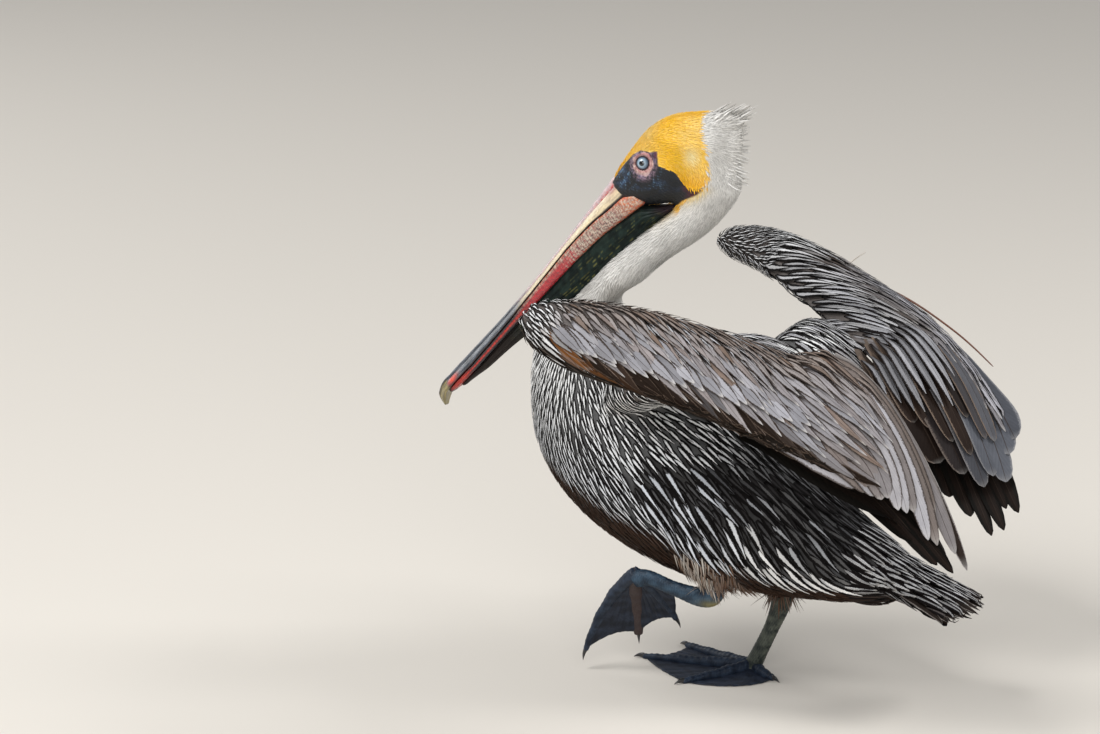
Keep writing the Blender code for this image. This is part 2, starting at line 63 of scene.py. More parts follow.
def blend(first, second, share):
    share = np.asarray(share, float)[..., None]
    return np.asarray(first) * (1 - share) + np.asarray(second) * share


def layered(colour, *coats):
    # a colour with more colours laid over it, each at its own share
    for coat, share in coats:
        colour = blend(colour, coat, share)
    return colour


def mix(low, high, share):
    # between two colours at a share that may run past 0 and 1
    return blend(low, high, np.clip(share, 0, 1))


def mark(marks, share, **changes):
    # lays new colours, streak widths or tips over a coat's markings, at a share of full strength
    share = np.asarray(share, float)
    for key, value in changes.items():
        weight = share if key in ("width", "tip") else share[:, None]
        marks[key] = np.asarray(marks[key]) * (1 - weight) + np.asarray(value) * weight


def draw(seed, count, low=0.0, high=1.0):
    return np.random.default_rng(seed).uniform(low, high, count)


def bump(value, middle, width):
    # 1 at the middle, falling away smoothly to each side of it
    return np.exp(-((value - middle) / width) ** 2)


def alongRows(rows, share):
    # a row of numbers at a share of the way along a smooth run of rows
    rows = np.asarray(rows, float)
    last = len(rows) - 1
    if last == 1:
        return rows[0] + (rows[1] - rows[0]) * np.asarray(share, float)[..., None]
    place = np.clip(np.asarray(share, float), 0, 1) * last
    index = np.minimum(place.astype(int), last - 1)
    t = (place - index)[..., None]
    p, q = rows[np.maximum(index - 1, 0)], rows[index]
    r, s = rows[index + 1], rows[np.minimum(index + 2, last)]
    return 0.5 * (2 * q + (r - p) * t + (2 * p - 5 * q + 4 * r - s) * t ** 2
                  + (3 * q - p - 3 * r + s) * t ** 3)


def addPiece(name, mesh, material, replaced=()):
    mesh.materials.clear()
    mesh.materials.append(material)
    piece = bpy.data.objects.new(name, mesh)
    bpy.context.scene.collection.objects.link(piece)
    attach(piece, "root")
    if replaced:
        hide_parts(*replaced)
    return piece


def meshPoints(mesh):
    points = np.empty(len(mesh.vertices) * 3)
    mesh.vertices.foreach_get("co", points)
    return points.reshape(-1, 3)


def meshNormals(mesh):
    normals = np.empty(len(mesh.vertices) * 3, np.float32)
    mesh.vertex_normals.foreach_get("vector", normals)
    return normals.reshape(-1, 3).astype(float)


def paint(mesh, name, colours, alpha=1.0):
    # colours: one row of red, green, blue for each vertex
    layer = mesh.color_attributes.new(name, "FLOAT_COLOR", "POINT")
    full = np.empty((len(mesh.vertices), 4), np.float32)
    full[:, :3] = colours
    full[:, 3] = alpha
    layer.data.foreach_set("color", full.ravel())


def meshFrom(bm, name):
    # the finished smooth mesh of a bmesh, which goes
    mesh = bpy.data.meshes.new(name)
    bm.to_mesh(mesh)
    bm.free()
    mesh.shade_smooth()
    return mesh


def wrapped(name, rows, columns, place):
    # grid bent by place(along, across), which closes once round across
    bm = bmesh.new()
    bm.loops.layers.uv.new("UVMap")
    bmesh.ops.create_grid(bm, x_segments=columns, y_segments=rows, size=0.5, calc_uvs=True)
    shares = np.array([(vert.co.y + 0.5, vert.co.x + 0.5) for vert in bm.verts])
    points = place(shares[:, 0], shares[:, 1]) + home
    for vert, point in zip(bm.verts, points):
        vert.co = point
    bmesh.ops.remove_doubles(bm, verts=bm.verts, dist=1e-6)
    bmesh.ops.recalc_face_normals(bm, faces=bm.faces)
    return meshFrom(bm, name)


def setInputs(node, values):
    for key, value in values.items():
        if isinstance(value, bpy.types.NodeSocket):
            node.id_data.links.new(value, node.inputs[key])
        else:
            node.inputs[key].default_value = value


def newMaterial(name):
    material = bpy.data.materials.new(name)
    material.use_nodes = True
    return material, material.node_tree, material.node_tree.nodes["Principled BSDF"]


def addNode(tree, kind, inputs=None, **settings):
    node = tree.nodes.new("ShaderNode" + kind)
    for key, value in settings.items():
        setattr(node, key, value)
    setInputs(node, inputs or {})
    return node


def mathNode(tree, operation, *values):
    return addNode(tree, "Math", dict(enumerate(values)), operation=operation).outputs[0]


def mixNode(tree, factor, first, second):
    return addNode(tree, "Mix", {0: factor, 6: first, 7: second}, data_type="RGBA").outputs[2]


def stepNode(tree, value, low, high, start=0.0, end=1.0):
    return addNode(tree, "MapRange", {"Value": value, "From Min": low, "From Max": high, "To Min": start,
                                      "To Max": end}, interpolation_type="SMOOTHSTEP").outputs["Result"]


def noiseNode(tree, place, scale, detail):
    return addNode(tree, "TexNoise", {"Vector": place, "Scale": scale, "Detail": detail}).outputs["Fac"]


def shadeAndBump(tree, shader, colour, shade, height, strength, depth):
    toned = addNode(tree, "VectorMath", {0: colour, "Scale": shade}, operation="SCALE")
    relief = addNode(tree, "Bump", {"Strength": strength, "Distance": depth, "Height": height})
    setInputs(shader, {"Base Color": toned.outputs[0], "Normal": relief.outputs[0]})


featherLook = {"roughness": 0.78, "longRoughness": 0.68, "specular": 0.09, "quillWidth": 0.045, "barbs": 46.0,
               "barbDepth": 0.00012, "paleTip": (0.72, 0.69, 0.66, 1.0), "quill": (0.035, 0.024, 0.018, 1.0)}


def makeFeatherMaterial(name, roughness, shaft=0.0):
    # edge and streak colours come from the vane; the edge's alpha is the streak's half width
    material, tree, shader = newMaterial(name)
    setInputs(shader, {"Roughness": roughness, "Specular IOR Level": featherLook["specular"]})
    edge = addNode(tree, "Attribute", attribute_name="edge")
    streak = addNode(tree, "Attribute", attribute_name="streak")
    vane = addNode(tree, "UVMap", uv_map="vane")
    split = addNode(tree, "SeparateXYZ", {0: vane.outputs[0]})
    across = mathNode(tree, "ABSOLUTE", mathNode(tree, "MULTIPLY_ADD", split.outputs[0], 2.0, -1.0))
    down = split.outputs[1]
    place = addNode(tree, "TexCoord").outputs["Object"]
    wander = mathNode(tree, "SUBTRACT", noiseNode(tree, place, 900.0, 2.0), 0.5)
    near = mathNode(tree, "ADD", across, mathNode(tree, "MULTIPLY", wander, 0.5))
    narrow = mathNode(tree, "SUBTRACT", edge.outputs["Alpha"], 0.08)
    wide = mathNode(tree, "ADD", edge.outputs["Alpha"], 0.10)
    reach = stepNode(tree, near, narrow, wide, 1.0, 0.0)
    mask = mathNode(tree, "MULTIPLY", reach, stepNode(tree, down, 0.0, 0.25))
    colour = mixNode(tree, mask, edge.outputs["Color"], streak.outputs["Color"])
    tip = mathNode(tree, "MULTIPLY", stepNode(tree, down, 0.86, 0.99), streak.outputs["Alpha"])
    colour = mixNode(tree, tip, colour, featherLook["paleTip"])
    if shaft:
        quill = mathNode(tree, "MULTIPLY", stepNode(tree, across, shaft, shaft * 0.5), 0.85)
        colour = mixNode(tree, quill, colour, featherLook["quill"])
    barb = mathNode(tree, "SINE", mathNode(
        tree, "ADD", mathNode(tree, "MULTIPLY", down, featherLook["barbs"] * 2.6),
        mathNode(tree, "MULTIPLY", across, -featherLook["barbs"] * 0.45)))
    shade = mathNode(tree, "MULTIPLY_ADD", barb, 0.05, 1.0)
    tone = mathNode(tree, "MULTIPLY_ADD", noiseNode(tree, place, 60.0, 3.0), 0.5, 0.75)
    shadeAndBump(tree, shader, colour, mathNode(tree, "MULTIPLY", shade, tone), barb, 0.5,
                 featherLook["barbDepth"])
    return material


def makeSkinMaterial(name, roughness, scale, depth, gloss=0.0, glossRoughness=0.25, specular=0.5):
    # painted colour broken up by two noises, with a fine bump
    material, tree, shader = newMaterial(name)
    setInputs(shader, {"Roughness": roughness, "Coat Weight": gloss, "Coat Roughness": glossRoughness,
                       "Specular IOR Level": specular})
    colour = addNode(tree, "Attribute", attribute_name="tint").outputs["Color"]
    place = addNode(tree, "TexCoord").outputs["Object"]
    broad = noiseNode(tree, place, scale * 0.35, 4.0)
    fine = addNode(tree, "TexVoronoi", {"Vector": place, "Scale": scale})
    shade = mathNode(tree, "MULTIPLY_ADD", broad, 0.9, 0.55)
    height = mathNode(tree, "ADD", fine.outputs["Distance"], broad)
    shadeAndBump(tree, shader, colour, shade, height, 0.6, depth)
    return material


stageValues = {
    "aim": (0.015, -0.233, 0.318), "azimuth": 115, "elevation": 15, "distance": 7.5, "lens": 228.0,
    "floorSize": 14.0, "floor": (0.66, 0.62, 0.56, 1.0), "sky": (0.80, 0.82, 0.85, 1.0), "skyPower": 0.36,
    "lampAim": (0, 0, 0.3),
    # each lamp's place, size and power
    "lamps": {"key": ((2.0, -1.4, 3.6), 2.0, 125.0), "fill": ((3.4, 1.6, 1.9), 2.4, 62.0),
              "rim": ((-1.6, 2.6, 3.0), 1.6, 80.0), "front": ((-1.2, -3.4, 1.8), 2.2, 30.0)},
}


def buildStage():
    scene = bpy.context.scene
    turn, lift = math.radians(stageValues["azimuth"]), math.radians(stageValues["elevation"])
    back = Vector((math.sin(turn) * math.cos(lift), -math.cos(turn) * math.cos(lift), math.sin(lift)))
    aim = Vector(home) + Vector(stageValues["aim"])
    camera = bpy.data.objects.new("camera", bpy.data.cameras.new("camera"))
    camera.data.lens = stageValues["lens"]
    camera.data.sensor_width = 36.0
    camera.data.clip_end = 100.0
    camera.location = aim + back * stageValues["distance"]
    camera.rotation_euler = back.to_track_quat("Z", "Y").to_euler()
    scene.collection.objects.link(camera)
    scene.camera = camera

    bm = bmesh.new()
    bmesh.ops.create_grid(bm, x_segments=1, y_segments=1, size=stageValues["floorSize"])
    mesh = meshFrom(bm, "floor")
    material, _, shader = newMaterial("palePlaster")
    setInputs(shader, {"Base Color": stageValues["floor"], "Roughness": 0.9})
    mesh.materials.append(material)
    floor = bpy.data.objects.new("floor", mesh)
    scene.collection.objects.link(floor)

    for name, (place, size, power) in stageValues["lamps"].items():
        lamp = bpy.data.lights.new(name, "AREA")
        lamp.size, lamp.energy = size, power
        holder = bpy.data.objects.new(name, lamp)
        holder.location = place
        away = Vector(place) - Vector(stageValues["lampAim"])
        holder.rotation_euler = away.to_track_quat("Z", "Y").to_euler()
        scene.collection.objects.link(holder)
    scene.world = bpy.data.worlds.new("studio")
    scene.world.use_nodes = True
    setInputs(scene.world.node_tree.nodes["Background"], {0: stageValues["sky"], 1: stageValues["skyPower"]})
    scene.view_settings.view_transform = "Standard"


# (y, z, way along y, way along z) on the head, neck and trunk
lieStrokes = np.array([
    (-0.160, 0.535, 0.45, 0.89), (-0.140, 0.575, 0.60, 0.80), (-0.105, 0.600, 0.93, 0.35),
    (-0.060, 0.612, 1.00, 0.02), (-0.020, 0.617, 1.00, 0.15), (-0.120, 0.578, 0.85, 0.50),
    (-0.090, 0.578, 1.00, 0.00), (-0.085, 0.560, 0.80, -0.35), (-0.065, 0.572, 0.85, -0.40),
    (-0.060, 0.552, 0.45, -0.89), (-0.045, 0.545, 0.40, -0.90), (-0.035, 0.600, 1.00, 0.20),
    (-0.020, 0.575, 0.85, -0.50), (-0.020, 0.540, 0.20, -0.98), (-0.040, 0.520, -0.30, -0.95),
    (-0.055, 0.505, -0.55, -0.83), (-0.080, 0.485, -0.72, -0.69), (-0.110, 0.455, -0.72, -0.69),
    (-0.150, 0.430, -0.65, -0.76), (-0.190, 0.400, -0.50, -0.87), (-0.210, 0.370, -0.25, -0.97),
    (-0.235, 0.330, -0.05, -1.00), (-0.155, 0.400, -0.10, -1.00), (-0.140, 0.370, 0.60, -0.80),
    (-0.200, 0.330, 0.10, -1.00), (-0.250, 0.280, 0.05, -1.00), (-0.235, 0.220, 0.35, -0.94),
    (-0.190, 0.170, 0.75, -0.66), (-0.120, 0.125, 0.92, -0.38), (-0.050, 0.100, 1.00, -0.05),
    (0.050, 0.095, 1.00, 0.02), (0.140, 0.100, 1.00, 0.03), (-0.170, 0.340, 0.25, -0.97),
    (-0.190, 0.280, 0.35, -0.94), (-0.140, 0.300, 0.60, -0.80), (-0.130, 0.240, 0.60, -0.80),
    (-0.080, 0.270, 0.72, -0.69), (-0.080, 0.210, 0.66, -0.75), (-0.020, 0.240, 0.75, -0.66),
    (-0.030, 0.170, 0.45, -0.90), (0.030, 0.220, 0.80, -0.60), (0.020, 0.150, 0.30, -0.95),
    (0.060, 0.130, 0.40, -0.92), (0.100, 0.150, 0.65, -0.76), (0.140, 0.140, 0.85, -0.50),
    (0.160, 0.125, 0.95, -0.30), (-0.120, 0.360, 0.90, -0.30), (-0.050, 0.325, 0.95, -0.30),
    (0.020, 0.280, 0.85, -0.50), (0.090, 0.210, 0.80, -0.60), (0.150, 0.160, 0.90, -0.43),
])
# wings: inner edge and outer edge of the arm, wrist first
wingEdges = {
    "left": [((0.243, -0.159, 0.441), (0.251, -0.160, 0.434)),
             ((0.215, -0.108, 0.453), (0.262, -0.104, 0.394)),
             ((0.157, -0.012, 0.427), (0.254, 0.010, 0.367)),
             ((0.102, 0.080, 0.389), (0.231, 0.115, 0.327))],
    "right": [((-0.247, -0.154, 0.404), (-0.256, -0.154, 0.413)),
              ((-0.214, -0.088, 0.392), (-0.282, -0.092, 0.409)),
              ((-0.153, -0.004, 0.371), (-0.295, 0.000, 0.372)),
              ((-0.106, 0.080, 0.335), (-0.272, 0.088, 0.338))],
}
armLength = 0.28  # from the wrist to the far end of the arm, along its middle


def edgeRowsOf(side):
    return np.array([(*inner, *outer) for inner, outer in wingEdges[side]])


def bodyLie(points):
    # lie of the feathers at points on the head, neck and trunk
    local = points - home
    apart = ((local[:, None, 1:] - lieStrokes[None, :, :2]) ** 2).sum(2)
    reach = 0.012 + 0.020 * ramp(-local[:, 2], -0.50, -0.40)
    weight = np.exp(-apart / (2 * reach[:, None] ** 2)) + 1e-9 / (apart + 1e-5)
    way = np.zeros_like(local)
    way[:, 1] = (weight * lieStrokes[:, 2]).sum(1)
    way[:, 2] = (weight * lieStrokes[:, 3]).sum(1)
    return unit(way)


def armAxes(points, side):
    # share along and across the wing, the way along it and the way to its outer edge
    stops = np.linspace(0, 1, 41)
    fine = alongRows(edgeRowsOf(side), stops)
    inner, outer = fine[:, :3], fine[:, 3:]
    middle = (inner + outer) / 2
    alongWay, outward = unit(np.gradient(middle, axis=0)), unit(outer - inner)
    span = np.maximum(np.linalg.norm(outer - inner, axis=1), 0.02)
    local = points - home
    nearest = ((local[:, None] - middle[None]) ** 2).sum(2).argmin(1)
    offset = local - middle[nearest]
    across = (offset * outward[nearest]).sum(1) / span[nearest] + 0.5
    beyond = (offset * alongWay[nearest]).sum(1) / armLength
    overall = unit(outer[-1] - outer[0] + inner[-1] - inner[0])
    return stops[nearest] + beyond, across, overall, outward[24]


skinValues = {"voxel": 0.0032, "smoothing": 5, "faceCuts": 2, "coatVoxel": 0.0030, "coatSmoothing": 4}
fleshNodes = ["head", "neck_upper", "neck_lower", "trunk", "thigh_left", "thigh_right"] + [
    f"wing_{side}_{part}" for side in ("left", "right") for part in ("wrist", "forearm", "upper_arm")]
# (y, z) round the bare face, and down the yellow crown's border on the nape
headLine = [(-0.1596, 0.5325), (-0.1472, 0.5500), (-0.1338, 0.5640), (-0.1230, 0.5705), (-0.1100, 0.5705),
            (-0.1009, 0.5735), (-0.0985, 0.5580), (-0.0796, 0.5529), (-0.0747, 0.5453), (-0.0689, 0.5368),
            (-0.0562, 0.5345), (-0.0460, 0.5400), (-0.0560, 0.5290), (-0.0767, 0.5186), (-0.0983, 0.4999),
            (-0.1400, 0.4850), (-0.1900, 0.5000)]
capLine = [(-0.0640, 0.6250), (-0.0580, 0.6094), (-0.0525, 0.5951), (-0.0470, 0.5807), (-0.0440, 0.5629),
           (-0.0425, 0.5511), (-0.0470, 0.5399), (-0.0600, 0.5290), (-0.0800, 0.5150)]


def insideLine(local, line):
    # distance to a closed outline in the y-z plane, above 0 inside it
    line = np.asarray(line)
    start, end = line, np.roll(line, -1, axis=0)
    flat = local[:, None, 1:3]
    run = end - start
    share = np.clip(((flat - start) * run).sum(2) / (run ** 2).sum(1), 0, 1)
    distance = np.linalg.norm(flat - start - share[..., None] * run, axis=2).min(1)
    crosses = (start[:, 1] > flat[..., 1]) != (end[:, 1] > flat[..., 1])
    at = start[:, 0] + (flat[..., 1] - start[:, 1]) * run[:, 0] / np.where(run[:, 1] == 0, 1e-9, run[:, 1])
    odd = (crosses & (flat[..., 0] < at)).sum(1) % 2 == 1
    return np.where(odd, distance, -distance)


def faceShare(local):
    # 1 on the bare skin of the face, 0 on feathers
    x, _, z = local.T
    onHead = ramp(z, 0.480, 0.492) * (np.abs(x) > 0.004)
    return ramp(insideLine(local, headLine), -0.0004, 0.0008) * onHead


def capShare(local):
    # 1 on the yellow crown and cheek, 0 on the white nape
    y, z = np.array(capLine[::-1]).T
    border = np.interp(local[:, 2], z, y) + 0.0028 * noiseAt(local, 170, 9)
    return ramp(border - local[:, 1], -0.0015, 0.0015) * ramp(local[:, 2], 0.500, 0.512)


def neckShare(local):
    # 1 on the white neck and head, 0 from the shoulders down
    x, y, z = local.T
    return (ramp(z + 0.35 * y, 0.302, 0.325) * ramp(-y, 0.095, 0.120)
            + ramp(z, 0.44, 0.46)).clip(0, 1) * ramp(-np.abs(x), -0.075, -0.060)


def bellyShare(local):
    # 1 on the plain brown belly, 0 on the streaked flanks
    _, y, z = local.T
    border = np.interp(y, [-0.260, -0.249, -0.227, -0.138, -0.056, 0.002, 0.097, 0.210],
                       [0.235, 0.229, 0.218, 0.178, 0.150, 0.130, 0.112, 0.098])
    return ramp(border + 0.016 + 0.004 * noiseAt(local, 26, 8) - z, -0.008, 0.008)


def noiseAt(local, scale, seed):
    # smooth waves that don't repeat, mostly between -1 and 1
    total = np.zeros(len(local))
    waves = np.random.default_rng(seed + 11)
    for _ in range(7):
        way = unit(waves.normal(size=3)) * scale * waves.uniform(0.6, 1.6)
        total += np.sin(local @ way * 6.28 + waves.uniform(0, 6.28))
    return total / 4


colours = {
    "yellow": (0.95, 0.60, 0.045), "paleYellow": (0.96, 0.84, 0.46), "amber": (0.90, 0.46, 0.015),
    "straw": (0.88, 0.62, 0.16), "white": (0.84, 0.82, 0.78), "grey": (0.42, 0.40, 0.37),
    "warmGrey": (0.33, 0.31, 0.28), "black": (0.005, 0.004, 0.004), "brown": (0.030, 0.015, 0.009),
    "darkBrown": (0.014, 0.008, 0.006), "bellyStreak": (0.060, 0.034, 0.022), "silver": (0.64, 0.66, 0.69),
    "brightStreak": (0.82, 0.82, 0.81), "faceBlack": (0.006, 0.008, 0.012), "faceBlue": (0.018, 0.042, 0.095),
    "maroon": (0.10, 0.012, 0.020),
}


def bodyMarks(local):
    # head, neck and trunk: dark with silver streaks, brown below, white on the neck, yellow on the crown
    _, y, z = local.T
    count = len(local)
    waves = noiseAt(local, 22, 1)
    fleck = draw(5, count)
    silver = blend(colours["silver"], colours["brightStreak"], ramp(z, 0.20, 0.34))
    shoulder = ramp(z, 0.28, 0.36) * ramp(-y, 0.12, 0.20)
    belly = bellyShare(local)
    width = (0.33 + 0.07 * waves + 0.20 * shoulder) * (1 - 0.2 * belly)
    marks = marksOf(colours["black"], silver, width, 0.0)
    mark(marks, belly, edge=mix(colours["brown"], colours["darkBrown"], 0.5 + waves),
         streak=colours["bellyStreak"])
    # painted shade: under the wings the silver streaks turn near black
    under = ramp(y, -0.03, 0.02) * ramp(z, 0.19, 0.21) * ramp(-z, -0.31, -0.28)
    mark(marks, 0.85 * under, streak=(0.014, 0.012, 0.012))
    plumes = regions("flank", local + home, np.tile((1.0, 0, 0), (count, 1)))
    mark(marks, 0.9 * plumes, streak=(0.010, 0.008, 0.008))
    neck = neckShare(local)
    low = ramp(-z, -0.46, -0.40) * np.clip(0.55 + waves, 0, 1)
    white = layered(colours["white"], (colours["grey"], 0.36 * (fleck < 0.16)),
                    (colours["warmGrey"], 0.55 * low))
    mark(marks, neck, edge=white * 0.74, streak=white, width=0.5)
    cap = capShare(local)
    pale = np.exp(-((y + 0.063) ** 2 + (z - 0.5712) ** 2) / (2 * 0.0065 ** 2))
    yellow = mix(colours["yellow"], colours["paleYellow"], 0.08 + 0.25 * waves + 0.22 * fleck + 0.95 * pale)
    yellow = blend(yellow, colours["amber"], 0.6 * ramp(-z, -0.565, -0.540))
    mark(marks, cap, edge=yellow * (0.86, 0.76, 0.60), streak=yellow)
    thread = np.exp(-np.abs(insideLine(local, headLine)) / 0.0035) * ramp(-z, -0.545, -0.535) * neck
    mark(marks, 0.75 * thread * (1 - cap), edge=colours["straw"], streak=colours["straw"])
    return marks


def faceMarks(local):
    # colours of the bare face: blue-black lores with painted sky-blue sheen, mottled pink round the eye,
    # maroon at the gape
    _, y, z = local.T
    waves, patches, fine = noiseAt(local, 120, 3), noiseAt(local, 55, 6), noiseAt(local, 420, 4)
    front = ramp(-y, 0.085, 0.110)
    offset = local[:, 1:] - eyeValues["ringAt"]
    fromEye, around = np.hypot(*offset.T), np.arctan2(offset[:, 1], offset[:, 0])
    blue = np.clip(0.10 + 0.55 * waves + 0.5 * patches, 0, 1) * (0.25 + 0.75 * front)
    mottle = ramp(-fromEye, -0.0215, -0.0125) * np.clip(0.40 + 0.9 * fine + 0.4 * waves, 0, 1)
    edge = 0.0118 + 0.0007 * np.sin(around * 5 + 1) + 0.0009 * waves
    pink = mix((0.36, 0.19, 0.18), (0.64, 0.46, 0.40), 0.55 + 0.9 * fine + 0.5 * waves)
    above = ramp(np.sin(around), 0.15, 0.85)
    magenta = np.clip(bump(fromEye, 0.0110, 0.0009) * above + 0.7 * bump(fromEye, 0.0082, 0.0006), 0, 1)
    shade = ramp(-np.sin(around), 0.2, 0.9) * ramp(fromEye, 0.0085, 0.0125)
    pink = layered(pink, ((0.42, 0.08, 0.11), 0.75 * magenta), ((0.28, 0.17, 0.20), 0.6 * shade))
    notch = np.clip(1.2 * bump(y, -0.1015, 0.0035) * bump(z, 0.5690, 0.0045), 0, 1)
    gape = ramp(y, -0.078, -0.062)
    return layered(colours["faceBlack"], (colours["faceBlue"], blue),
                   # painted sheen: sky-blue specks towards the front of the lores
                   ((0.13, 0.25, 0.38), 0.75 * ramp(fine + 0.6 * patches, 0.55, 1.1) * front),
                   ((0.36, 0.23, 0.30), 0.85 * mottle),
                   (pink, ramp(edge - fromEye, -0.0009, 0.0009)),
                   ((0.085, 0.020, 0.045), notch),
                   (colours["maroon"], gape * np.clip(0.7 + 0.5 * waves, 0, 1)),
                   ((0.006, 0.007, 0.008), 0.9 * ramp(-z, -0.533, -0.524) * (1 - gape)))


def coatDepth(local):
    # how far the skin lies inside the solids
    x, y, z = local.T
    high = ramp(z + 0.5 * y, 0.37, 0.44)
    swell = bump(y, -0.128, 0.034) * bump(z, 0.415, 0.034) * (np.abs(x) < 0.05)
    crown = bump(y, -0.098, 0.034) * ramp(z, 0.568, 0.588)
    nape = ramp(y, -0.045, -0.020) * ramp(z, 0.525, 0.565)
    nape = nape * (1 - 0.6 * ramp(z, 0.600, 0.615))
    depth = 0.0030 * (1 - high) + 0.0013 * high - 0.0085 * swell - 0.0058 * crown + 0.0100 * nape
    return depth * (1 - faceShare(local))


def soften(bm, verts, times):
    for _ in range(times):
        bmesh.ops.smooth_vert(bm, verts=verts, factor=0.5, use_axis_x=True, use_axis_y=True, use_axis_z=True)


def meltNodes(names, voxel, smoothing):
    # copies of solids run together into one smooth form
    bm = bmesh.new()
    for name in names:
        bm.from_mesh(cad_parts[name].data)
    bmesh.ops.remove_doubles(bm, verts=bm.verts, dist=1e-5)
    flesh = bpy.data.objects.new("flesh", meshFrom(bm, "flesh"))
    bpy.context.scene.collection.objects.link(flesh)
    remesh = flesh.modifiers.new("remesh", "REMESH")
    remesh.mode = "VOXEL"
    remesh.voxel_size = voxel
    bpy.context.view_layer.update()
    solid = bpy.data.meshes.new_from_object(flesh.evaluated_get(bpy.context.evaluated_depsgraph_get()))
    bpy.data.objects.remove(flesh, do_unlink=True)
    bm = bmesh.new()
    bm.from_mesh(solid)
    bpy.data.meshes.remove(solid)
    soften(bm, bm.verts, smoothing)
    return bm


def buildSkin():
    bm = meltNodes(fleshNodes + ["eye_left", "eye_right"], skinValues["voxel"], skinValues["smoothing"])
    face = [edge for edge in bm.edges if all(
        vert.co.z - home[2] > 0.492 and vert.co.y - home[1] < -0.04 for vert in edge.verts)]
    bmesh.ops.subdivide_edges(bm, edges=face, cuts=skinValues["faceCuts"], use_grid_fill=True)
    soften(bm, [vert for vert in bm.verts if vert.co.z - home[2] > 0.485 and vert.co.y - home[1] < -0.03], 4)
    bmesh.ops.recalc_face_normals(bm, faces=bm.faces)
    mesh = meshFrom(bm, "skin")
    points, normals = meshPoints(mesh), meshNormals(mesh)
    points = points - normals * coatDepth(points - home)[:, None]
    points = shapeFace(points, normals)
    mesh.vertices.foreach_set("co", points.ravel())
    mesh.update()
    local = points - home
    x, _, z = local.T
    marks = bodyMarks(local)
    tint = blend(marks["edge"], marks["streak"],
                 np.clip(marks["width"], 0, 1) * (0.25 + 0.45 * neckShare(local)))
    wing = ramp(np.abs(x) - 0.106, 0.0, 0.01) * ramp(z, 0.22, 0.25)
    paint(mesh, "tint", layered(tint, ((0.10, 0.085, 0.078), wing), (faceMarks(local), faceShare(local))))
    return addPiece("skin", mesh, makeSkinMaterial("barePlumageSkin", 0.55, 1500.0, 0.0004),
                    fleshNodes)


# the ball, its opening between the lids, the fleshy ring's radius and colour's middle, the way it looks
eyeValues = {"radius": 0.0088, "opening": 0.0073, "ring": 0.0128, "ringAt": (-0.118, 0.5565),
             "look": (0.965, 0.14, 0.16)}


def eyeAxis(side):
    return unit(np.array(eyeValues["look"]) * (side, 1, 1))


def shapeFace(points, normals):
    # the fleshy ring round each eye, the hollow behind it and the wrinkles of the bare face
    local = points - home
    opening = eyeValues["opening"]
    rim = math.sqrt(eyeValues["radius"] ** 2 - opening ** 2)
    for side in (1, -1):
        axis = eyeAxis(side)
        offset = local - np.array(eyeMiddle) * (side, 1, 1)
        lift = offset @ axis
        radial = offset - lift[:, None] * axis
        radius = np.linalg.norm(radial, axis=1)
        angle = np.arctan2(radial[:, 2], radial[:, 1])
        lid = rim + 0.0004 + 0.0014 * ramp(radius, opening, 0.0098)
        lid = lid - 0.0016 * ramp(radius, 0.0100, eyeValues["ring"])
        lid = lid + 0.00022 * np.sin(radius * 6.28 / 0.0011) * ramp(radius, 0.0078, 0.0090)
        lid = lid + 0.00012 * np.sin(angle * 31)
        lid = np.where(radius < opening, rim - 0.0045, lid)
        hold = (1 - ramp(radius, 0.0108, 0.0150)) * (radius < 0.020) * (lift > -0.004)
        local = local + axis * ((lid - lift) * hold)[:, None]
    crease = noiseAt(local * (1, 0.6, 1.4), 300, 8)
    return local + normals * (0.00028 * crease * faceShare(local))[:, None] + home


# half sections of a vane, top and underside: share of the half width, share of the ridge
smallSection = ([(-1.0, 0.0), (0.0, 1.0), (1.0, 0.0)], [])
longSection = (
    [(-1.0, 0.0), (-0.55, 0.75), (-0.10, 0.80), (0.0, 1.5), (0.10, 0.80), (0.55, 0.75), (1.0, 0.0)],
    [(0.5, 0.25), (0.0, 0.0), (-0.5, 0.25)])


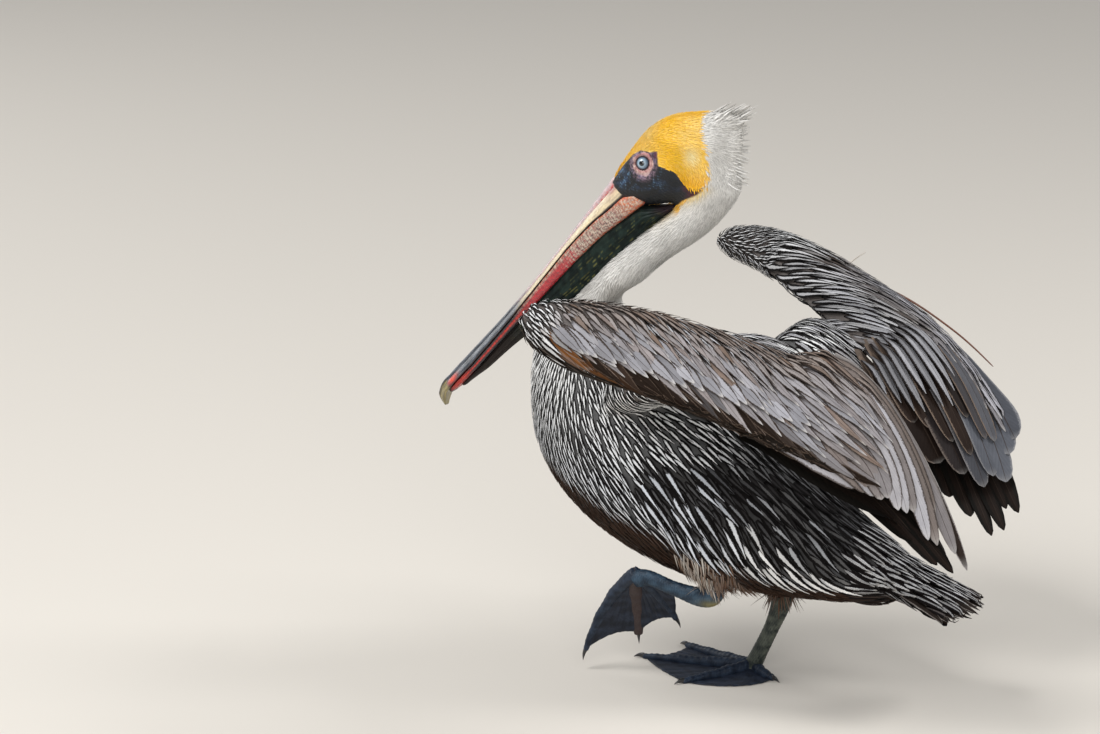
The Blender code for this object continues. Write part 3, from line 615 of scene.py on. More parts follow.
def vaneMesh(name, centre, up, half, ridge, section, marks, bakeAt):
    # joined closed vanes: centre and up are (feather, row, 3), half widths and ridges (feather, row)
    count, rows = centre.shape[:2]
    ring = np.array(sum(section, []))
    around = len(ring)
    way = unit(np.gradient(centre, axis=1))
    side = unit(np.cross(way, up))
    over = np.cross(side, way)
    points = (centre[:, :, None] + side[:, :, None] * (half[:, :, None] * ring[:, 0])[..., None]
              + over[:, :, None] * (ridge[:, :, None] * ring[:, 1])[..., None])
    index = np.arange(count * rows * around).reshape(count, rows, around)
    near, far = index[:, :-1], index[:, 1:]
    quads = np.stack([near, np.roll(near, -1, 2), np.roll(far, -1, 2), far], -1).reshape(-1, 4)
    caps = np.concatenate([index[:, 0, ::-1], index[:, -1]])
    corners = np.concatenate([quads.ravel(), caps.ravel()])
    sizes = np.concatenate([np.full(len(quads), 4), np.full(len(caps), around)])
    starts = np.concatenate([[0], np.cumsum(sizes)[:-1]])
    mesh = bpy.data.meshes.new(name)
    mesh.vertices.add(points.size // 3)
    mesh.vertices.foreach_set("co", points.ravel())
    mesh.loops.add(len(corners))
    mesh.loops.foreach_set("vertex_index", corners.astype(np.int32))
    mesh.polygons.add(len(sizes))
    mesh.polygons.foreach_set("loop_start", starts.astype(np.int32))
    mesh.polygons.foreach_set("loop_total", sizes.astype(np.int32))
    mesh.update(calc_edges=True)
    down, across = np.meshgrid(np.linspace(0, 1, rows), (ring[:, 0] + 1) / 2, indexing="ij")
    flat = np.tile(np.stack([across.ravel(), down.ravel()], 1), (count, 1))
    patch = flat * 0.003 + np.repeat(bakeAt, rows * around, axis=0)
    for layer, places in (("vane", flat), ("OFBake", patch)):
        mesh.uv_layers.new(name=layer).uv.foreach_set("vector", places[corners].astype(np.float32).ravel())

    def spread(values, *width):
        return np.repeat(np.broadcast_to(values, (count, *width)), rows * around, axis=0)

    paint(mesh, "edge", spread(marks["edge"], 3), spread(marks["width"]))
    paint(mesh, "streak", spread(marks["streak"], 3), spread(marks["tip"]))
    mesh.shade_smooth()
    mesh.set_sharp_from_angle(angle=math.radians(70))
    return mesh


def treeOf(mesh):
    # nearest-point tree of a mesh, with its points and triangles
    mesh.calc_loop_triangles()
    faces = np.empty(len(mesh.loop_triangles) * 3, np.int32)
    mesh.loop_triangles.foreach_get("vertices", faces)
    points, faces = meshPoints(mesh), faces.reshape(-1, 3)
    return BVHTree.FromPolygons(points.tolist(), faces.tolist()), points, faces


def meltedTree(names):
    mesh = meshFrom(meltNodes(names, skinValues["coatVoxel"], skinValues["coatSmoothing"]), "form")
    found = treeOf(mesh)
    bpy.data.meshes.remove(mesh)
    return found


def snap(tree, points):
    found = [tree.find_nearest(point)[:2] for point in points.tolist()]
    return np.array([place[:] for place, _ in found]), np.array([normal[:] for _, normal in found])


def flattened(ways, normals):
    # ways laid flat on a surface
    return unit(ways - (ways * normals).sum(1)[:, None] * normals)


def scatter(points, faces, keep, spacing, stretch, lie, seed):
    # roots about spacing apart across the lie and stretch times that along it
    draws = np.random.default_rng(seed)
    a, b, c = (points[faces[:, k]] for k in range(3))
    cross = np.cross(b - a, c - a)
    middle, normal = (a + b + c) / 3, unit(cross)
    room = spacing(middle) if callable(spacing) else np.full(len(faces), spacing)
    density = np.linalg.norm(cross, axis=1) / 2 * keep(middle, normal) / (room ** 2 * stretch)
    tries = int(density.sum() * 7)
    chosen = draws.choice(len(faces), tries, p=density / density.sum())
    first, second = draws.uniform(size=(2, tries))
    flip = first + second > 1
    first, second = np.where(flip, 1 - first, first), np.where(flip, 1 - second, second)
    spots = a[chosen] + (b - a)[chosen] * first[:, None] + (c - a)[chosen] * second[:, None]
    normals, room = normal[chosen], room[chosen]
    ways = flattened(lie(spots), normals)
    cells = np.floor(spots / (room.max() * stretch)).astype(int).tolist()
    shorten = 1 - 1 / stretch ** 2
    steps = [(p, q, r) for p in (-1, 0, 1) for q in (-1, 0, 1) for r in (-1, 0, 1)]
    grid, kept = {}, []
    for index, ((x, y, z), (wx, wy, wz), (i, j, k), limit) in enumerate(
            zip(spots.tolist(), ways.tolist(), cells, (room ** 2).tolist())):
        clear = True
        for ox, oy, oz in (old for p, q, r in steps for old in grid.get((i + p, j + q, k + r), ())):
            dx, dy, dz = x - ox, y - oy, z - oz
            forward = dx * wx + dy * wy + dz * wz
            if dx * dx + dy * dy + dz * dz - forward * forward * shorten < limit:
                clear = False
                break
        if clear:
            grid.setdefault((i, j, k), []).append((x, y, z))
            kept.append(index)
    return spots[kept]


def growLines(tree, roots, lie, lengths, rows, rise, turn, sink):
    # feather centre lines that follow the lie over the surface, rising towards the tip
    centre = np.empty((len(roots), rows + 1, 3))
    up = np.empty_like(centre)
    points = roots
    for row in range(rows + 1):
        share = row / rows
        spots, normals = snap(tree, points)
        way = flattened(lie(spots), normals)
        way = unit(way + np.cross(normals, way) * turn[:, None])
        height = rise * (0.12 + 0.88 * share) - sink * (1 - share) ** 2
        centre[:, row], up[:, row] = spots + normals * height[:, None], normals
        points = spots + way * (lengths / rows)[:, None]
    return centre, up


def growFree(tree, roots, lie, lengths, rows, lift, sag, turn, free):
    # feathers that leave the surface with a lift and sag towards their tips
    spots, normals = snap(tree, roots)
    way = lie(spots) if free else flattened(lie(spots), normals)
    way = unit(way + np.cross(normals, way) * turn[:, None])
    centre = np.empty((len(roots), rows + 1, 3))
    point = spots - normals * 0.001
    for row in range(rows + 1):
        centre[:, row] = point
        share = row / rows
        heading = unit(way + normals * (lift * (1 - share))[:, None] + np.array((0, 0, -1.0)) * sag * share)
        point = point + heading * (lengths / rows)[:, None]
    return centre, np.repeat(normals[:, None], rows + 1, axis=1)


# vanes that widen from their root and taper from some way down: width at the root, its growth, where the
# taper starts, its bend and depth, and the least width
taperForms = {"lance": (0.30, 1.9, 0.45, 2.2, 0.94, 0.06), "spear": (0.35, 1.5, 0.35, 1.5, 0.96, 0.04)}


def vaneShape(kind, v):
    # half width along the vane, root to tip, as a share of the widest
    if kind == "pointed":
        return np.clip(np.sin(np.pi * np.clip(v * 0.86 + 0.12, 0, 1)) ** 0.8 * (1 - v ** 4 * 0.75), 0.06, 1)
    if kind == "rounded":
        return np.clip(np.minimum(0.35 + 1.6 * v, 1.0) * np.sqrt(np.clip(1 - v ** 9, 0, 1)), 0.05, 1)
    root, growth, start, bend, depth, least = taperForms[kind]
    taper = np.clip((v - start) / (1 - start), 0, 1) ** bend * depth
    return np.clip(np.minimum(root + growth * v, 1.0) * (1 - taper), least, 1)


# (y, z) down the bird, from the bill's root over the neck and breast to the rump
spine = np.array([(-0.15, 0.545), (-0.06, 0.565), (-0.05, 0.51), (-0.15, 0.43), (-0.20, 0.36),
                  (-0.16, 0.25), (-0.05, 0.21), (0.08, 0.15), (0.18, 0.125)])


def unwrapBody(points):
    # along and around the bird: a share along the neck and back, and the turn about it
    local = points - home
    fine = alongRows(spine, np.linspace(0, 1, 161))
    nearest = ((local[:, None, 1:] - fine[None]) ** 2).sum(2).argmin(1)
    way = unit(np.gradient(fine, axis=0))[nearest]
    offset = local[:, 1:] - fine[nearest]
    over = offset[:, 0] * way[:, 1] - offset[:, 1] * way[:, 0]
    turn = np.arctan2(local[:, 0], over + 1e-6) / (2 * np.pi) + 0.5
    return np.stack([turn, nearest / 161], 1) * 0.98 + 0.005


def coatPiece(name, tree, roots, lie, look, marks, material, unwrap, section=smallSection):
    # one joined coat of vanes grown from its roots
    draws = np.random.default_rng(look["seed"])
    count = len(roots)
    vary = draws.uniform(*look.get("vary", (0.85, 1.15)), count)
    scale = look["scale"](roots - home) if "scale" in look else np.ones(count)
    lengths = look["length"] * vary * scale
    rise = look["rise"] * draws.uniform(0.8, 1.2, count) * np.sqrt(scale)
    turn = draws.normal(0, look["stray"], count)
    if "lift" in look:
        lift = look["lift"] * draws.uniform(0.6, 1.4, count)
        centre, up = growFree(tree, roots, lie, lengths, look["rows"], lift, look["sag"], turn,
                              "free" in look)
    else:
        centre, up = growLines(tree, roots, lie, lengths, look["rows"], rise, turn, look.get("sink", 0.0004))
    shape = vaneShape(look["kind"], np.linspace(0, 1, look["rows"] + 1))
    half = look["width"] / 2 * (scale * draws.uniform(0.85, 1.15, count))[:, None] * shape
    ridge = look["ridge"] * np.sqrt(scale)[:, None] * (0.35 + 0.65 * shape)
    mesh = vaneMesh(name, centre, up, half, ridge, section, marks, unwrap(roots))
    addFeathers(name, mesh, count, material)


def addFeathers(name, mesh, count, material, replaced=()):
    addPiece(name, mesh, material, replaced)
    print("  ", name, count, "feathers", len(mesh.polygons), "faces")


def wingPart(local):
    # which wing a point belongs to: 1 left, -1 right, 0 neither
    x, y, z = local.T
    width = np.interp(y, [-0.16, -0.12, -0.06, 0.0, 0.06, 0.11, 0.16],
                      [0.112, 0.118, 0.128, 0.128, 0.118, 0.104, 0.090])
    floor = np.interp(y, [-0.16, 0.0, 0.16], [0.33, 0.29, 0.24])
    return np.sign(x) * ((np.abs(x) > width) & (z > floor))


def armPart(local):
    # 1 on the upper arms, where they stand clear of the trunk
    x, y, z = local.T
    back = np.interp(y, [-0.15, -0.05, 0.05, 0.15], [0.365, 0.330, 0.262, 0.180])
    over = z - back + 0.9 * np.abs(x) ** 1.5
    return ramp(over, -0.002, 0.008) * (np.abs(x) > 0.034) * (y > -0.150)


# a coat's measures, in this order, with any others by name
coatKeys = ("seed", "length", "width", "rise", "ridge", "rows", "stray", "kind")


def coatLook(*measures, **others):
    return {**dict(zip(coatKeys, measures)), **others}


coatLooks = {
    "trunk": coatLook(21, 0.0250, 0.0066, 0.0026, 0.0007, 6, 0.08, "pointed", spacing=0.0052, stretch=2.2),
    "neck": coatLook(22, 0.0085, 0.0019, 0.0016, 0.00032, 3, 0.10, "pointed", spacing=0.00165, stretch=2.2),
    "head": coatLook(23, 0.0062, 0.0015, 0.0012, 0.00026, 3, 0.09, "pointed", spacing=0.00135, stretch=2.2),
    "crest": coatLook(24, 0.0120, 0.0024, 0.0010, 0.00040, 6, 0.15, "spear", spacing=0.0030, stretch=1.3,
                      lift=0.10, sag=0.0, free=True, vary=(0.40, 1.60)),
    "flank": coatLook(25, 0.060, 0.0105, 0.0050, 0.0010, 9, 0.07, "spear", spacing=0.0102, stretch=2.2,
                      sink=0.0030),
    "rump": coatLook(26, 0.040, 0.0098, 0.0034, 0.0008, 8, 0.07, "lance", spacing=0.0068, stretch=2.0,
                     sink=0.0030),
    "scapular": coatLook(27, 0.046, 0.0098, 0.0036, 0.0008, 8, 0.08, "lance", spacing=0.0078, stretch=2.0,
                         sink=0.0030),
    "thigh": coatLook(28, 0.024, 0.0022, 0.0030, 0.00035, 5, 0.14, "pointed", spacing=0.0023, stretch=2.0,
                      lift=0.20, sag=0.45),
}


def trunkScale(local):
    # feathers grow from short at the shoulder and neck to long on the flank
    _, y, z = local.T
    size = 0.62 + 0.48 * ramp(y - z * 0.6, -0.42, -0.18) + 0.25 * ramp(y, 0.0, 0.10)
    return size * (1 - 0.30 * bellyShare(local))


def nearLine(local, places):
    # distance from points to a run of (y, z) places
    places = np.asarray(places)
    best = np.full(len(local), 9.0)
    for start, end in zip(places, places[1:]):
        run = end - start
        share = np.clip(((local[:, 1:] - start) * run).sum(1) / (run ** 2).sum(), 0, 1)
        best = np.minimum(best, np.linalg.norm(local[:, 1:] - start - share[:, None] * run, axis=1))
    return best


def crestLie(points):
    # the crest stands back and up at the top and straight back lower down
    local = points - home
    x, _, z = local.T
    low = ramp(-z, -0.618, -0.560)
    return unit(np.stack([x * 12, 1.0 - 0.35 * low, 0.62 - 0.75 * low], 1))


def crestScale(local):
    x, _, z = local.T
    return (0.80 + 0.70 * ramp(z, 0.598, 0.614)) * (1 - 0.45 * (x / 0.023) ** 2)


coatLooks["trunk"]["scale"] = trunkScale
coatLooks["crest"]["scale"] = crestScale


def rumpLie(points):
    local = points - home
    x, y, _ = local.T
    end = ramp(y, 0.10, 0.16)
    tailWay = unit(np.stack([x * 3.2, np.full(len(local), 0.94), np.full(len(local), -0.20)], 1))
    return unit(bodyLie(points) * (1 - end)[:, None] + tailWay * end[:, None])


def thighLie(points):
    return np.tile(unit(np.array((0, 0.12, -1.0))), (len(points), 1))


def flankMarks(local):
    # black with a silver streak down the middle: bold over the thigh, dimmed under the wing by painted shade
    _, y, z = local.T
    count = len(local)
    draws = np.random.default_rng(61)
    shade = draws.uniform(0.75, 1.1, count)[:, None]
    rear = ramp(y, -0.02, 0.03)
    under = ramp(z + 0.75 * y, 0.215, 0.235)
    # painted shade: under the wing most streaks go near black and the rest dull grey
    paintedShadeStreak = blend((0.010, 0.008, 0.008), (0.30, 0.31, 0.33), draws.uniform(size=count) < 0.38)
    streak = blend((0.58, 0.61, 0.66), (0.84, 0.84, 0.84), rear) * shade
    return {"edge": blend((0.006, 0.005, 0.005), colours["darkBrown"], bellyShare(local)),
            "streak": blend(streak, paintedShadeStreak, 0.9 * under), "width": 0.36 + 0.10 * rear - 0.10 * under,
            "tip": 0.75 * rear * (1 - under)}


def rumpMarks(local):
    shade = draw(62, len(local), 0.6, 1.15)[:, None]
    under = ramp(-local[:, 2], -0.130, -0.112)
    streak = blend((0.68, 0.68, 0.69), (0.040, 0.024, 0.017), under) * shade
    return {"edge": (0.006, 0.004, 0.004), "streak": streak, "width": 0.30, "tip": 0.5 * (1 - under)}


def scapularMarks(local):
    shade = draw(63, len(local), 0.6, 1.1)[:, None]
    back = ramp(local[:, 1], 0.0, 0.08)
    streak = blend((0.52, 0.52, 0.54), (0.34, 0.32, 0.32), back) * shade
    return {"edge": (0.007, 0.005, 0.004), "streak": streak, "width": 0.38 + 0.12 * back, "tip": 0.25}


def thighMarks(local):
    # whitish hair-like feathers, browner behind
    x, y, _ = local.T
    browner = draw(64, len(local)) ** 1.5
    back = np.maximum(ramp(y, -0.020, -0.004), ramp(-x, -0.03, 0.0))
    streak = layered((0.62, 0.57, 0.51), ((0.20, 0.12, 0.075), browner), ((0.13, 0.060, 0.032), 0.75 * back))
    return {"edge": streak * 0.45, "streak": streak, "width": 0.5, "tip": 0.0}


def regions(name, spots, normals):
    # which spots a coat grows from
    local = spots - home
    x, y, z = local.T
    onWing = np.abs(wingPart(local)) > 0
    neck = neckShare(local) > 0.5
    head = (z > 0.5) & (z + 0.9 * y > 0.40)
    feathered = faceShare(local) < 0.5
    beak = (y < -0.1655 + 0.6 * (0.5305 - z)) & (z > 0.5)
    thigh = (z < 0.158) & (np.abs(y + 0.024) < 0.034) & (np.abs(x - 0.064) < 0.040)
    far = (z < 0.112) & (np.abs(y - 0.014) < 0.030) & (np.abs(x + 0.030) < 0.032)
    if name == "trunk":
        return ~neck & ~onWing & (y < 0.150) & ~(thigh & (z < 0.138))
    if name == "neck":
        return neck & ~head & ~onWing & feathered
    if name == "head":
        return neck & head & ~onWing & feathered & ~beak
    if name == "crest":
        nape = nearLine(local, [(-0.034, 0.617), (-0.010, 0.616), (-0.006, 0.583), (-0.012, 0.552)])
        return (nape < 0.017) & (np.abs(x) < 0.023)
    if name == "flank":
        low = np.interp(y, [-0.10, -0.02, 0.04, 0.10, 0.16], [0.215, 0.172, 0.150, 0.136, 0.120])
        high = np.interp(y, [-0.10, -0.02, 0.04, 0.10, 0.16], [0.255, 0.262, 0.242, 0.200, 0.160])
        return ((y > -0.095) & (y < 0.140) & (z > low) & (z < high)
                & (np.abs(normals[:, 0]) > 0.35) & ~onWing)
    if name == "rump":
        return (y > 0.120) & (y < 0.222) & (z < 0.190)
    if name == "scapular":
        return (armPart(local) > 0.5) & (y > -0.035) & ~onWing & ~neck
    return (thigh | far) & (normals[:, 2] < 0.6)


def buildBodyCoats(material, longMaterial, body):
    rear = meltedTree(["trunk", "tail"])
    kinds = (("trunk", body, bodyLie, bodyMarks, "trunk_plumage"),
             ("neck", body, bodyLie, bodyMarks, "neck_plumage"),
             ("head", body, bodyLie, bodyMarks, "head_plumage"),
             ("crest", body, crestLie, bodyMarks, "head_plumage"),
             ("flank", body, bodyLie, flankMarks, "trunk_plumage"),
             ("rump", rear, rumpLie, rumpMarks, "trunk_plumage"),
             ("scapular", body, rumpLie, scapularMarks, "wing_coverts"),
             ("thigh", body, thighLie, thighMarks, "thigh_plumage"))
    for name, (tree, spots, triangles), lie, marks, slot in kinds:
        look = coatLooks[name]
        room = look["spacing"]
        if name == "trunk":
            room = (lambda places: coatLooks["trunk"]["spacing"] * trunkScale(places - home))
        roots = scatter(spots, triangles,
                        lambda places, normals: regions(name, places, normals).astype(float),
                        room, look["stretch"], lie, look["seed"])
        long = name in ("rump", "scapular")
        for sign, label in ((1, "Left"), (-1, "Right")):
            own = roots[(roots[:, 0] - home[0]) * sign >= 0]
            coatPiece(name + "Coat" + label, tree, own, lie, look, marks(own - home),
                      longMaterial if long else material, unwrapBody,
                      longSection if long else smallSection)


# turns of the lie in degrees, and the scales of the rows of coverts
wingValues = {
    "left": {"turnInner": 46, "turnOuter": 30, "turnEnd": -16, "scales": (1.0, 1.0, 1.0)},
    "right": {"turnInner": 26, "turnOuter": -6, "turnEnd": -22, "scales": (1.22, 1.10, 1.0)},
}
# each fan's roots, middles and tips across it
fanGuides = {
    "left_secondaries": ([(0.102, 0.080, 0.389), (0.231, 0.115, 0.327)],
                         [(0.094, 0.170, 0.367), (0.150, 0.180, 0.340), (0.207, 0.172, 0.300)],
                         [(0.140, 0.297, 0.205), (0.158, 0.262, 0.228), (0.178, 0.226, 0.260),
                          (0.192, 0.200, 0.284)]),
    "left_primaries": ([(0.130, 0.075, 0.350), (0.220, 0.075, 0.326)],
                       [(0.125, 0.165, 0.315), (0.185, 0.160, 0.286)],
                       [(0.128, 0.250, 0.225), (0.142, 0.286, 0.192), (0.148, 0.262, 0.200),
                        (0.162, 0.218, 0.246)]),
    "right_secondaries": ([(-0.092, 0.078, 0.334), (-0.272, 0.088, 0.338)],
                          [(-0.078, 0.123, 0.290), (-0.146, 0.159, 0.292), (-0.236, 0.160, 0.296)],
                          [(-0.070, 0.153, 0.248), (-0.106, 0.203, 0.213), (-0.140, 0.230, 0.204),
                           (-0.178, 0.235, 0.246)]),
    "right_primaries": ([(-0.140, 0.078, 0.318), (-0.258, 0.084, 0.325)],
                        [(-0.115, 0.140, 0.258), (-0.220, 0.150, 0.280)],
                        [(-0.090, 0.180, 0.205), (-0.102, 0.222, 0.160), (-0.122, 0.246, 0.160),
                         (-0.136, 0.250, 0.186)]),
    "tail": ([(-0.030, 0.150, 0.132), (0.030, 0.150, 0.132)],
             [(-0.046, 0.212, 0.113), (0.0, 0.214, 0.1175), (0.046, 0.212, 0.113)],
             [(-0.060, 0.240, 0.102), (0.0, 0.262, 0.100), (0.060, 0.240, 0.102)]),
}


def fanSurface(guides, share, down):
    # points of a fan at shares across it and shares down its feathers
    roots, middles, tips = (alongRows(guide, share) for guide in guides)
    control = 2 * middles - (roots + tips) / 2
    v = down[..., None]
    return roots * (1 - v) ** 2 + control * 2 * v * (1 - v) + tips * v ** 2


def fanVanes(name, fan, side, look, marks, material, replaced=()):
    # long feathers of a wing or the tail, each lapping over its neighbour
    draws = np.random.default_rng(look["seed"])
    guides = fanGuides[fan]
    count, rows, span = look["count"], look["rows"], look.get("span", 1.0)
    share = (np.arange(count) + 0.5) / count * span
    step = 0.5 / count * span
    reach = look.get("reach", 1.0) + draws.uniform(-look["ragged"], look["ragged"] * 0.4, count)
    v = 1 - (1 - np.linspace(0, 1, rows + 1)) ** 1.6
    start = (look["start"] + look.get("late", 0.0) * ramp(-share, -0.26, -0.10))[:, None]
    down = start + (reach[:, None] - start) * v
    shares = np.repeat(share[:, None], rows + 1, axis=1)
    centre, right, left = (fanSurface(guides, places, down) for places in (
        shares, np.clip(shares + step, 0, 1), np.clip(shares - step, 0, 1)))
    beside = unit(right - left)
    out = unit(np.cross(unit(np.gradient(centre, axis=1)), right - left)) * -side
    bow = look["camber"] * 4 * shares * (1 - shares) * (1 - 0.6 * down)
    lift = look["lift"] * (1 - 0.6 * np.clip(down, 0, 1)) * ramp(down, -0.02, 0.20)
    centre = centre + out * (bow + lift)[..., None] + home
    gap = np.linalg.norm(right - left, axis=2).max(1)
    half = (gap * look["lap"] / 2)[:, None] * vaneShape(look["kind"], v)
    tilt = math.radians(look["tilt"])
    up = unit(out * math.cos(tilt) + beside * math.sin(tilt))
    ridge = np.full((count, rows + 1), look["ridge"]) * (1.15 - v * 0.7)
    # roots of the fan on its own flat layout: across it, at half its height
    bakeAt = np.stack([0.05 + 0.9 * share, np.full(count, 0.5)], 1)
    mesh = vaneMesh(name, centre, up, half, ridge, longSection, marks(share, draws), bakeAt)
    addFeathers(name, mesh, count, material, replaced)


def marksOf(edge, streak, width, tip):
    return {"edge": np.array(edge), "streak": np.array(streak), "width": width, "tip": tip}


def shaded(marks, shade, *keys):
    for key in keys:
        marks[key] = marks[key] * shade[:, None]
    return marks


def secondaryMarks(share, draws):
    # silver and brown-grey by turns, the longest inner ones dark with pale edges
    marks = marksOf((0.060, 0.048, 0.042), (0.36, 0.35, 0.37), 0.82, 0.3)
    mark(marks, draws.uniform(0, 1, len(share)) ** 1.6, streak=(0.17, 0.135, 0.115))
    mark(marks, ramp(-share, -0.16, -0.06), edge=(0.24, 0.22, 0.21), streak=(0.020, 0.013, 0.010))
    return shaded(marks, draws.uniform(0.8, 1.15, len(share)), "edge", "streak")


def farSecondaryMarks(share, draws):
    # brown-black inside, slate outside, with thin pale edges
    marks = marksOf((0.12, 0.092, 0.074), (0.012, 0.007, 0.005), 0.86, 0.15)
    mark(marks, ramp(share, 0.25, 0.55), edge=(0.20, 0.20, 0.21), streak=(0.085, 0.090, 0.105))
    return shaded(marks, draws.uniform(0.75, 1.15, len(share)), "streak")


def tertialMarks(share, draws):
    # silver-grey and brown feathers by turns, edged black
    marks = marksOf((0.010, 0.007, 0.006), (0.34, 0.34, 0.36), 0.66, 0.25)
    mark(marks, draws.uniform(size=len(share)) < 0.40, streak=(0.045, 0.030, 0.024))
    return shaded(marks, draws.uniform(0.6, 1.15, len(share)), "streak")


def innerMarks(share, draws):
    # brown-black with tan edges, slate towards the outer side
    marks = marksOf((0.17, 0.125, 0.095), (0.018, 0.011, 0.008), 0.84, 0.1)
    mark(marks, 0.8 * ramp(share, 0.45, 0.75), streak=(0.11, 0.115, 0.13))
    return shaded(marks, draws.uniform(0.6, 1.3, len(share)), "streak")


def primaryMarks(share, draws):
    marks = marksOf((0.006, 0.005, 0.004), (0.014, 0.009, 0.007), 0.5, 0.0)
    return shaded(marks, draws.uniform(0.7, 1.4, len(share)), "edge")


def tailMarks(share, draws):
    marks = marksOf((0.24, 0.21, 0.19), (0.022, 0.016, 0.013), 0.78, 0.3)
    return shaded(marks, draws.uniform(0.6, 1.2, len(share)), "streak")


# span and reach shorten a fan across and down, late starts its first feathers lower
fanKeys = ("seed", "count", "rows", "ragged", "start", "camber", "lift", "lap", "tilt", "ridge", "kind")


def fanLook(*measures, **others):
    return {**dict(zip(fanKeys, measures)), **others}


fanLooks = {
    "secondaries": fanLook(41, 13, 14, 0.09, -0.06, 0.016, 0.0, 2.0, 7, 0.0007, "rounded", late=0.36),
    "primaries": fanLook(42, 6, 14, 0.05, 0.0, 0.006, 0.0, 1.3, 6, 0.0008, "rounded"),
    "tail": fanLook(43, 12, 10, 0.04, -0.05, 0.0, 0.002, 1.5, 9, 0.0007, "lance"),
    "farSecondaries": fanLook(44, 8, 14, 0.05, -0.06, 0.016, 0.0, 1.7, 7, 0.0009, "rounded"),
    "farTertials": fanLook(45, 9, 12, 0.26, -0.02, 0.022, 0.009, 1.5, 10, 0.0009, "lance",
                           reach=0.58, span=0.56),
    "farInner": fanLook(46, 8, 12, 0.16, -0.04, 0.019, 0.004, 1.5, 9, 0.0009, "rounded",
                        reach=0.82, span=0.72),
}


def buildFans(material):
    for side, label, look, marks in ((1, "left", "secondaries", secondaryMarks),
                                     (-1, "right", "farSecondaries", farSecondaryMarks)):
        fanVanes(label + "Secondaries", label + "_secondaries", side, fanLooks[look], marks,
                 material, (f"wing_{label}_secondaries",))
        fanVanes(label + "Primaries", label + "_primaries", side, fanLooks["primaries"], primaryMarks,
                 material, (f"wing_{label}_primaries",))
    for name, marks in (("farInner", innerMarks), ("farTertials", tertialMarks)):
        fanVanes(name, "right_secondaries", -1, fanLooks[name], marks, material)
    fanVanes("tailFeathers", "tail", 1, fanLooks["tail"], tailMarks, material, ("tail",))


def wingLie(side):
    turns = wingValues[side]

    def lie(points):
        along, across, overall, outer = armAxes(points, side)
        turn = turns["turnInner"] + (turns["turnOuter"] - turns["turnInner"]) * ramp(across, 0.15, 1.0)
        turn = np.radians(turn + turns["turnEnd"] * ramp(along, 0.9, 1.5))
        return overall * np.cos(turn)[:, None] + outer * np.sin(turn)[:, None]
    return lie


def leftWingMarks(along, across, fleck):
    # silver-lilac with brown tints, brown-black along the top, black and white at the wrist
    patches = 0.5 + 0.5 * np.sin(along * 23 + 5 * np.sin(across * 9)) * np.sin(across * 13 + along * 7)
    lilac = mix((0.37, 0.37, 0.40), (0.17, 0.125, 0.10), 1.2 * patches * fleck + 0.12)
    marks = marksOf((0.045, 0.034, 0.028), lilac * (0.72 + 0.45 * fleck)[:, None], 0.76, 0.6)
    mark(marks, ramp(-across, -0.44, -0.10), edge=(0.026, 0.018, 0.014), width=0.50, tip=0,
         streak=blend((0.30, 0.265, 0.245), (0.15, 0.105, 0.080), fleck))
    wrist = ramp(-along, -0.30, -0.17)
    mark(marks, wrist, edge=(0.006, 0.005, 0.005), streak=(0.72, 0.72, 0.72), width=0.38, tip=0)
    border = np.interp(along, [0.0, 0.5, 0.9, 1.2], [0.64, 0.68, 0.78, 0.94])
    low = ramp(across - border, -0.02, 0.04) * (1 - wrist)
    mark(marks, low, edge=(0.085, 0.060, 0.045), streak=(0.014, 0.008, 0.005), width=0.84, tip=0)
    rust = low * bump(along, 0.20, 0.14) * (fleck > 0.55)
    mark(marks, 0.8 * rust, streak=(0.22, 0.085, 0.024))
    mark(marks, 0.4 * rust, width=0)
    return marks


def rightWingMarks(along, across, fleck):
    # wavy black and white at the wrist, brown-grey in the middle, big dark feathers inside
    patches = 0.5 + 0.5 * np.sin(along * 17 + 4 * np.sin(across * 8)) * np.sin(across * 11 - along * 9)
    marks = marksOf((0.006, 0.005, 0.005), (0.62, 0.62, 0.62), 0.36, 0.35)
    middle = ramp(along, 0.34, 0.48)
    inner = ramp(-across, -0.45, -0.20) * middle
    nearTop = inner * ramp(-along, -0.96, -0.84)
    brown = mix((0.060, 0.042, 0.032), (0.30, 0.29, 0.30), patches * 0.5 + 0.9 * (fleck - 0.4))
    mark(marks, middle, edge=(0.008, 0.006, 0.005), streak=brown)
    mark(marks, 0.8 * ramp(across, 0.45, 0.80) * ramp(along, 0.45, 0.75), streak=(0.33, 0.33, 0.36))
    mark(marks, nearTop, edge=(0.006, 0.005, 0.005))
    mark(marks, 0.8 * nearTop, streak=(0.50, 0.50, 0.51))
    marks["width"] = marks["width"] + 0.22 * middle * (1 - nearTop)
    marks["tip"] = marks["tip"] * middle
    mark(marks, inner * ramp(along, 0.90, 1.0), edge=(0.17, 0.145, 0.125), width=0.86, tip=0,
         streak=mix((0.008, 0.006, 0.005), (0.050, 0.038, 0.032), 1.6 * fleck - 0.4))
    return shaded(marks, 0.72 + 0.55 * fleck, "streak")


def underWingMarks(along, across, fleck):
    rim = ramp(-across, -0.34, -0.16)
    streak = layered((0.10, 0.085, 0.075), ((0.045, 0.030, 0.022), fleck), ((0.46, 0.46, 0.47), rim))
    return marksOf((0.010, 0.007, 0.005), streak, 0.28 + 0.06 * rim, 0.0)


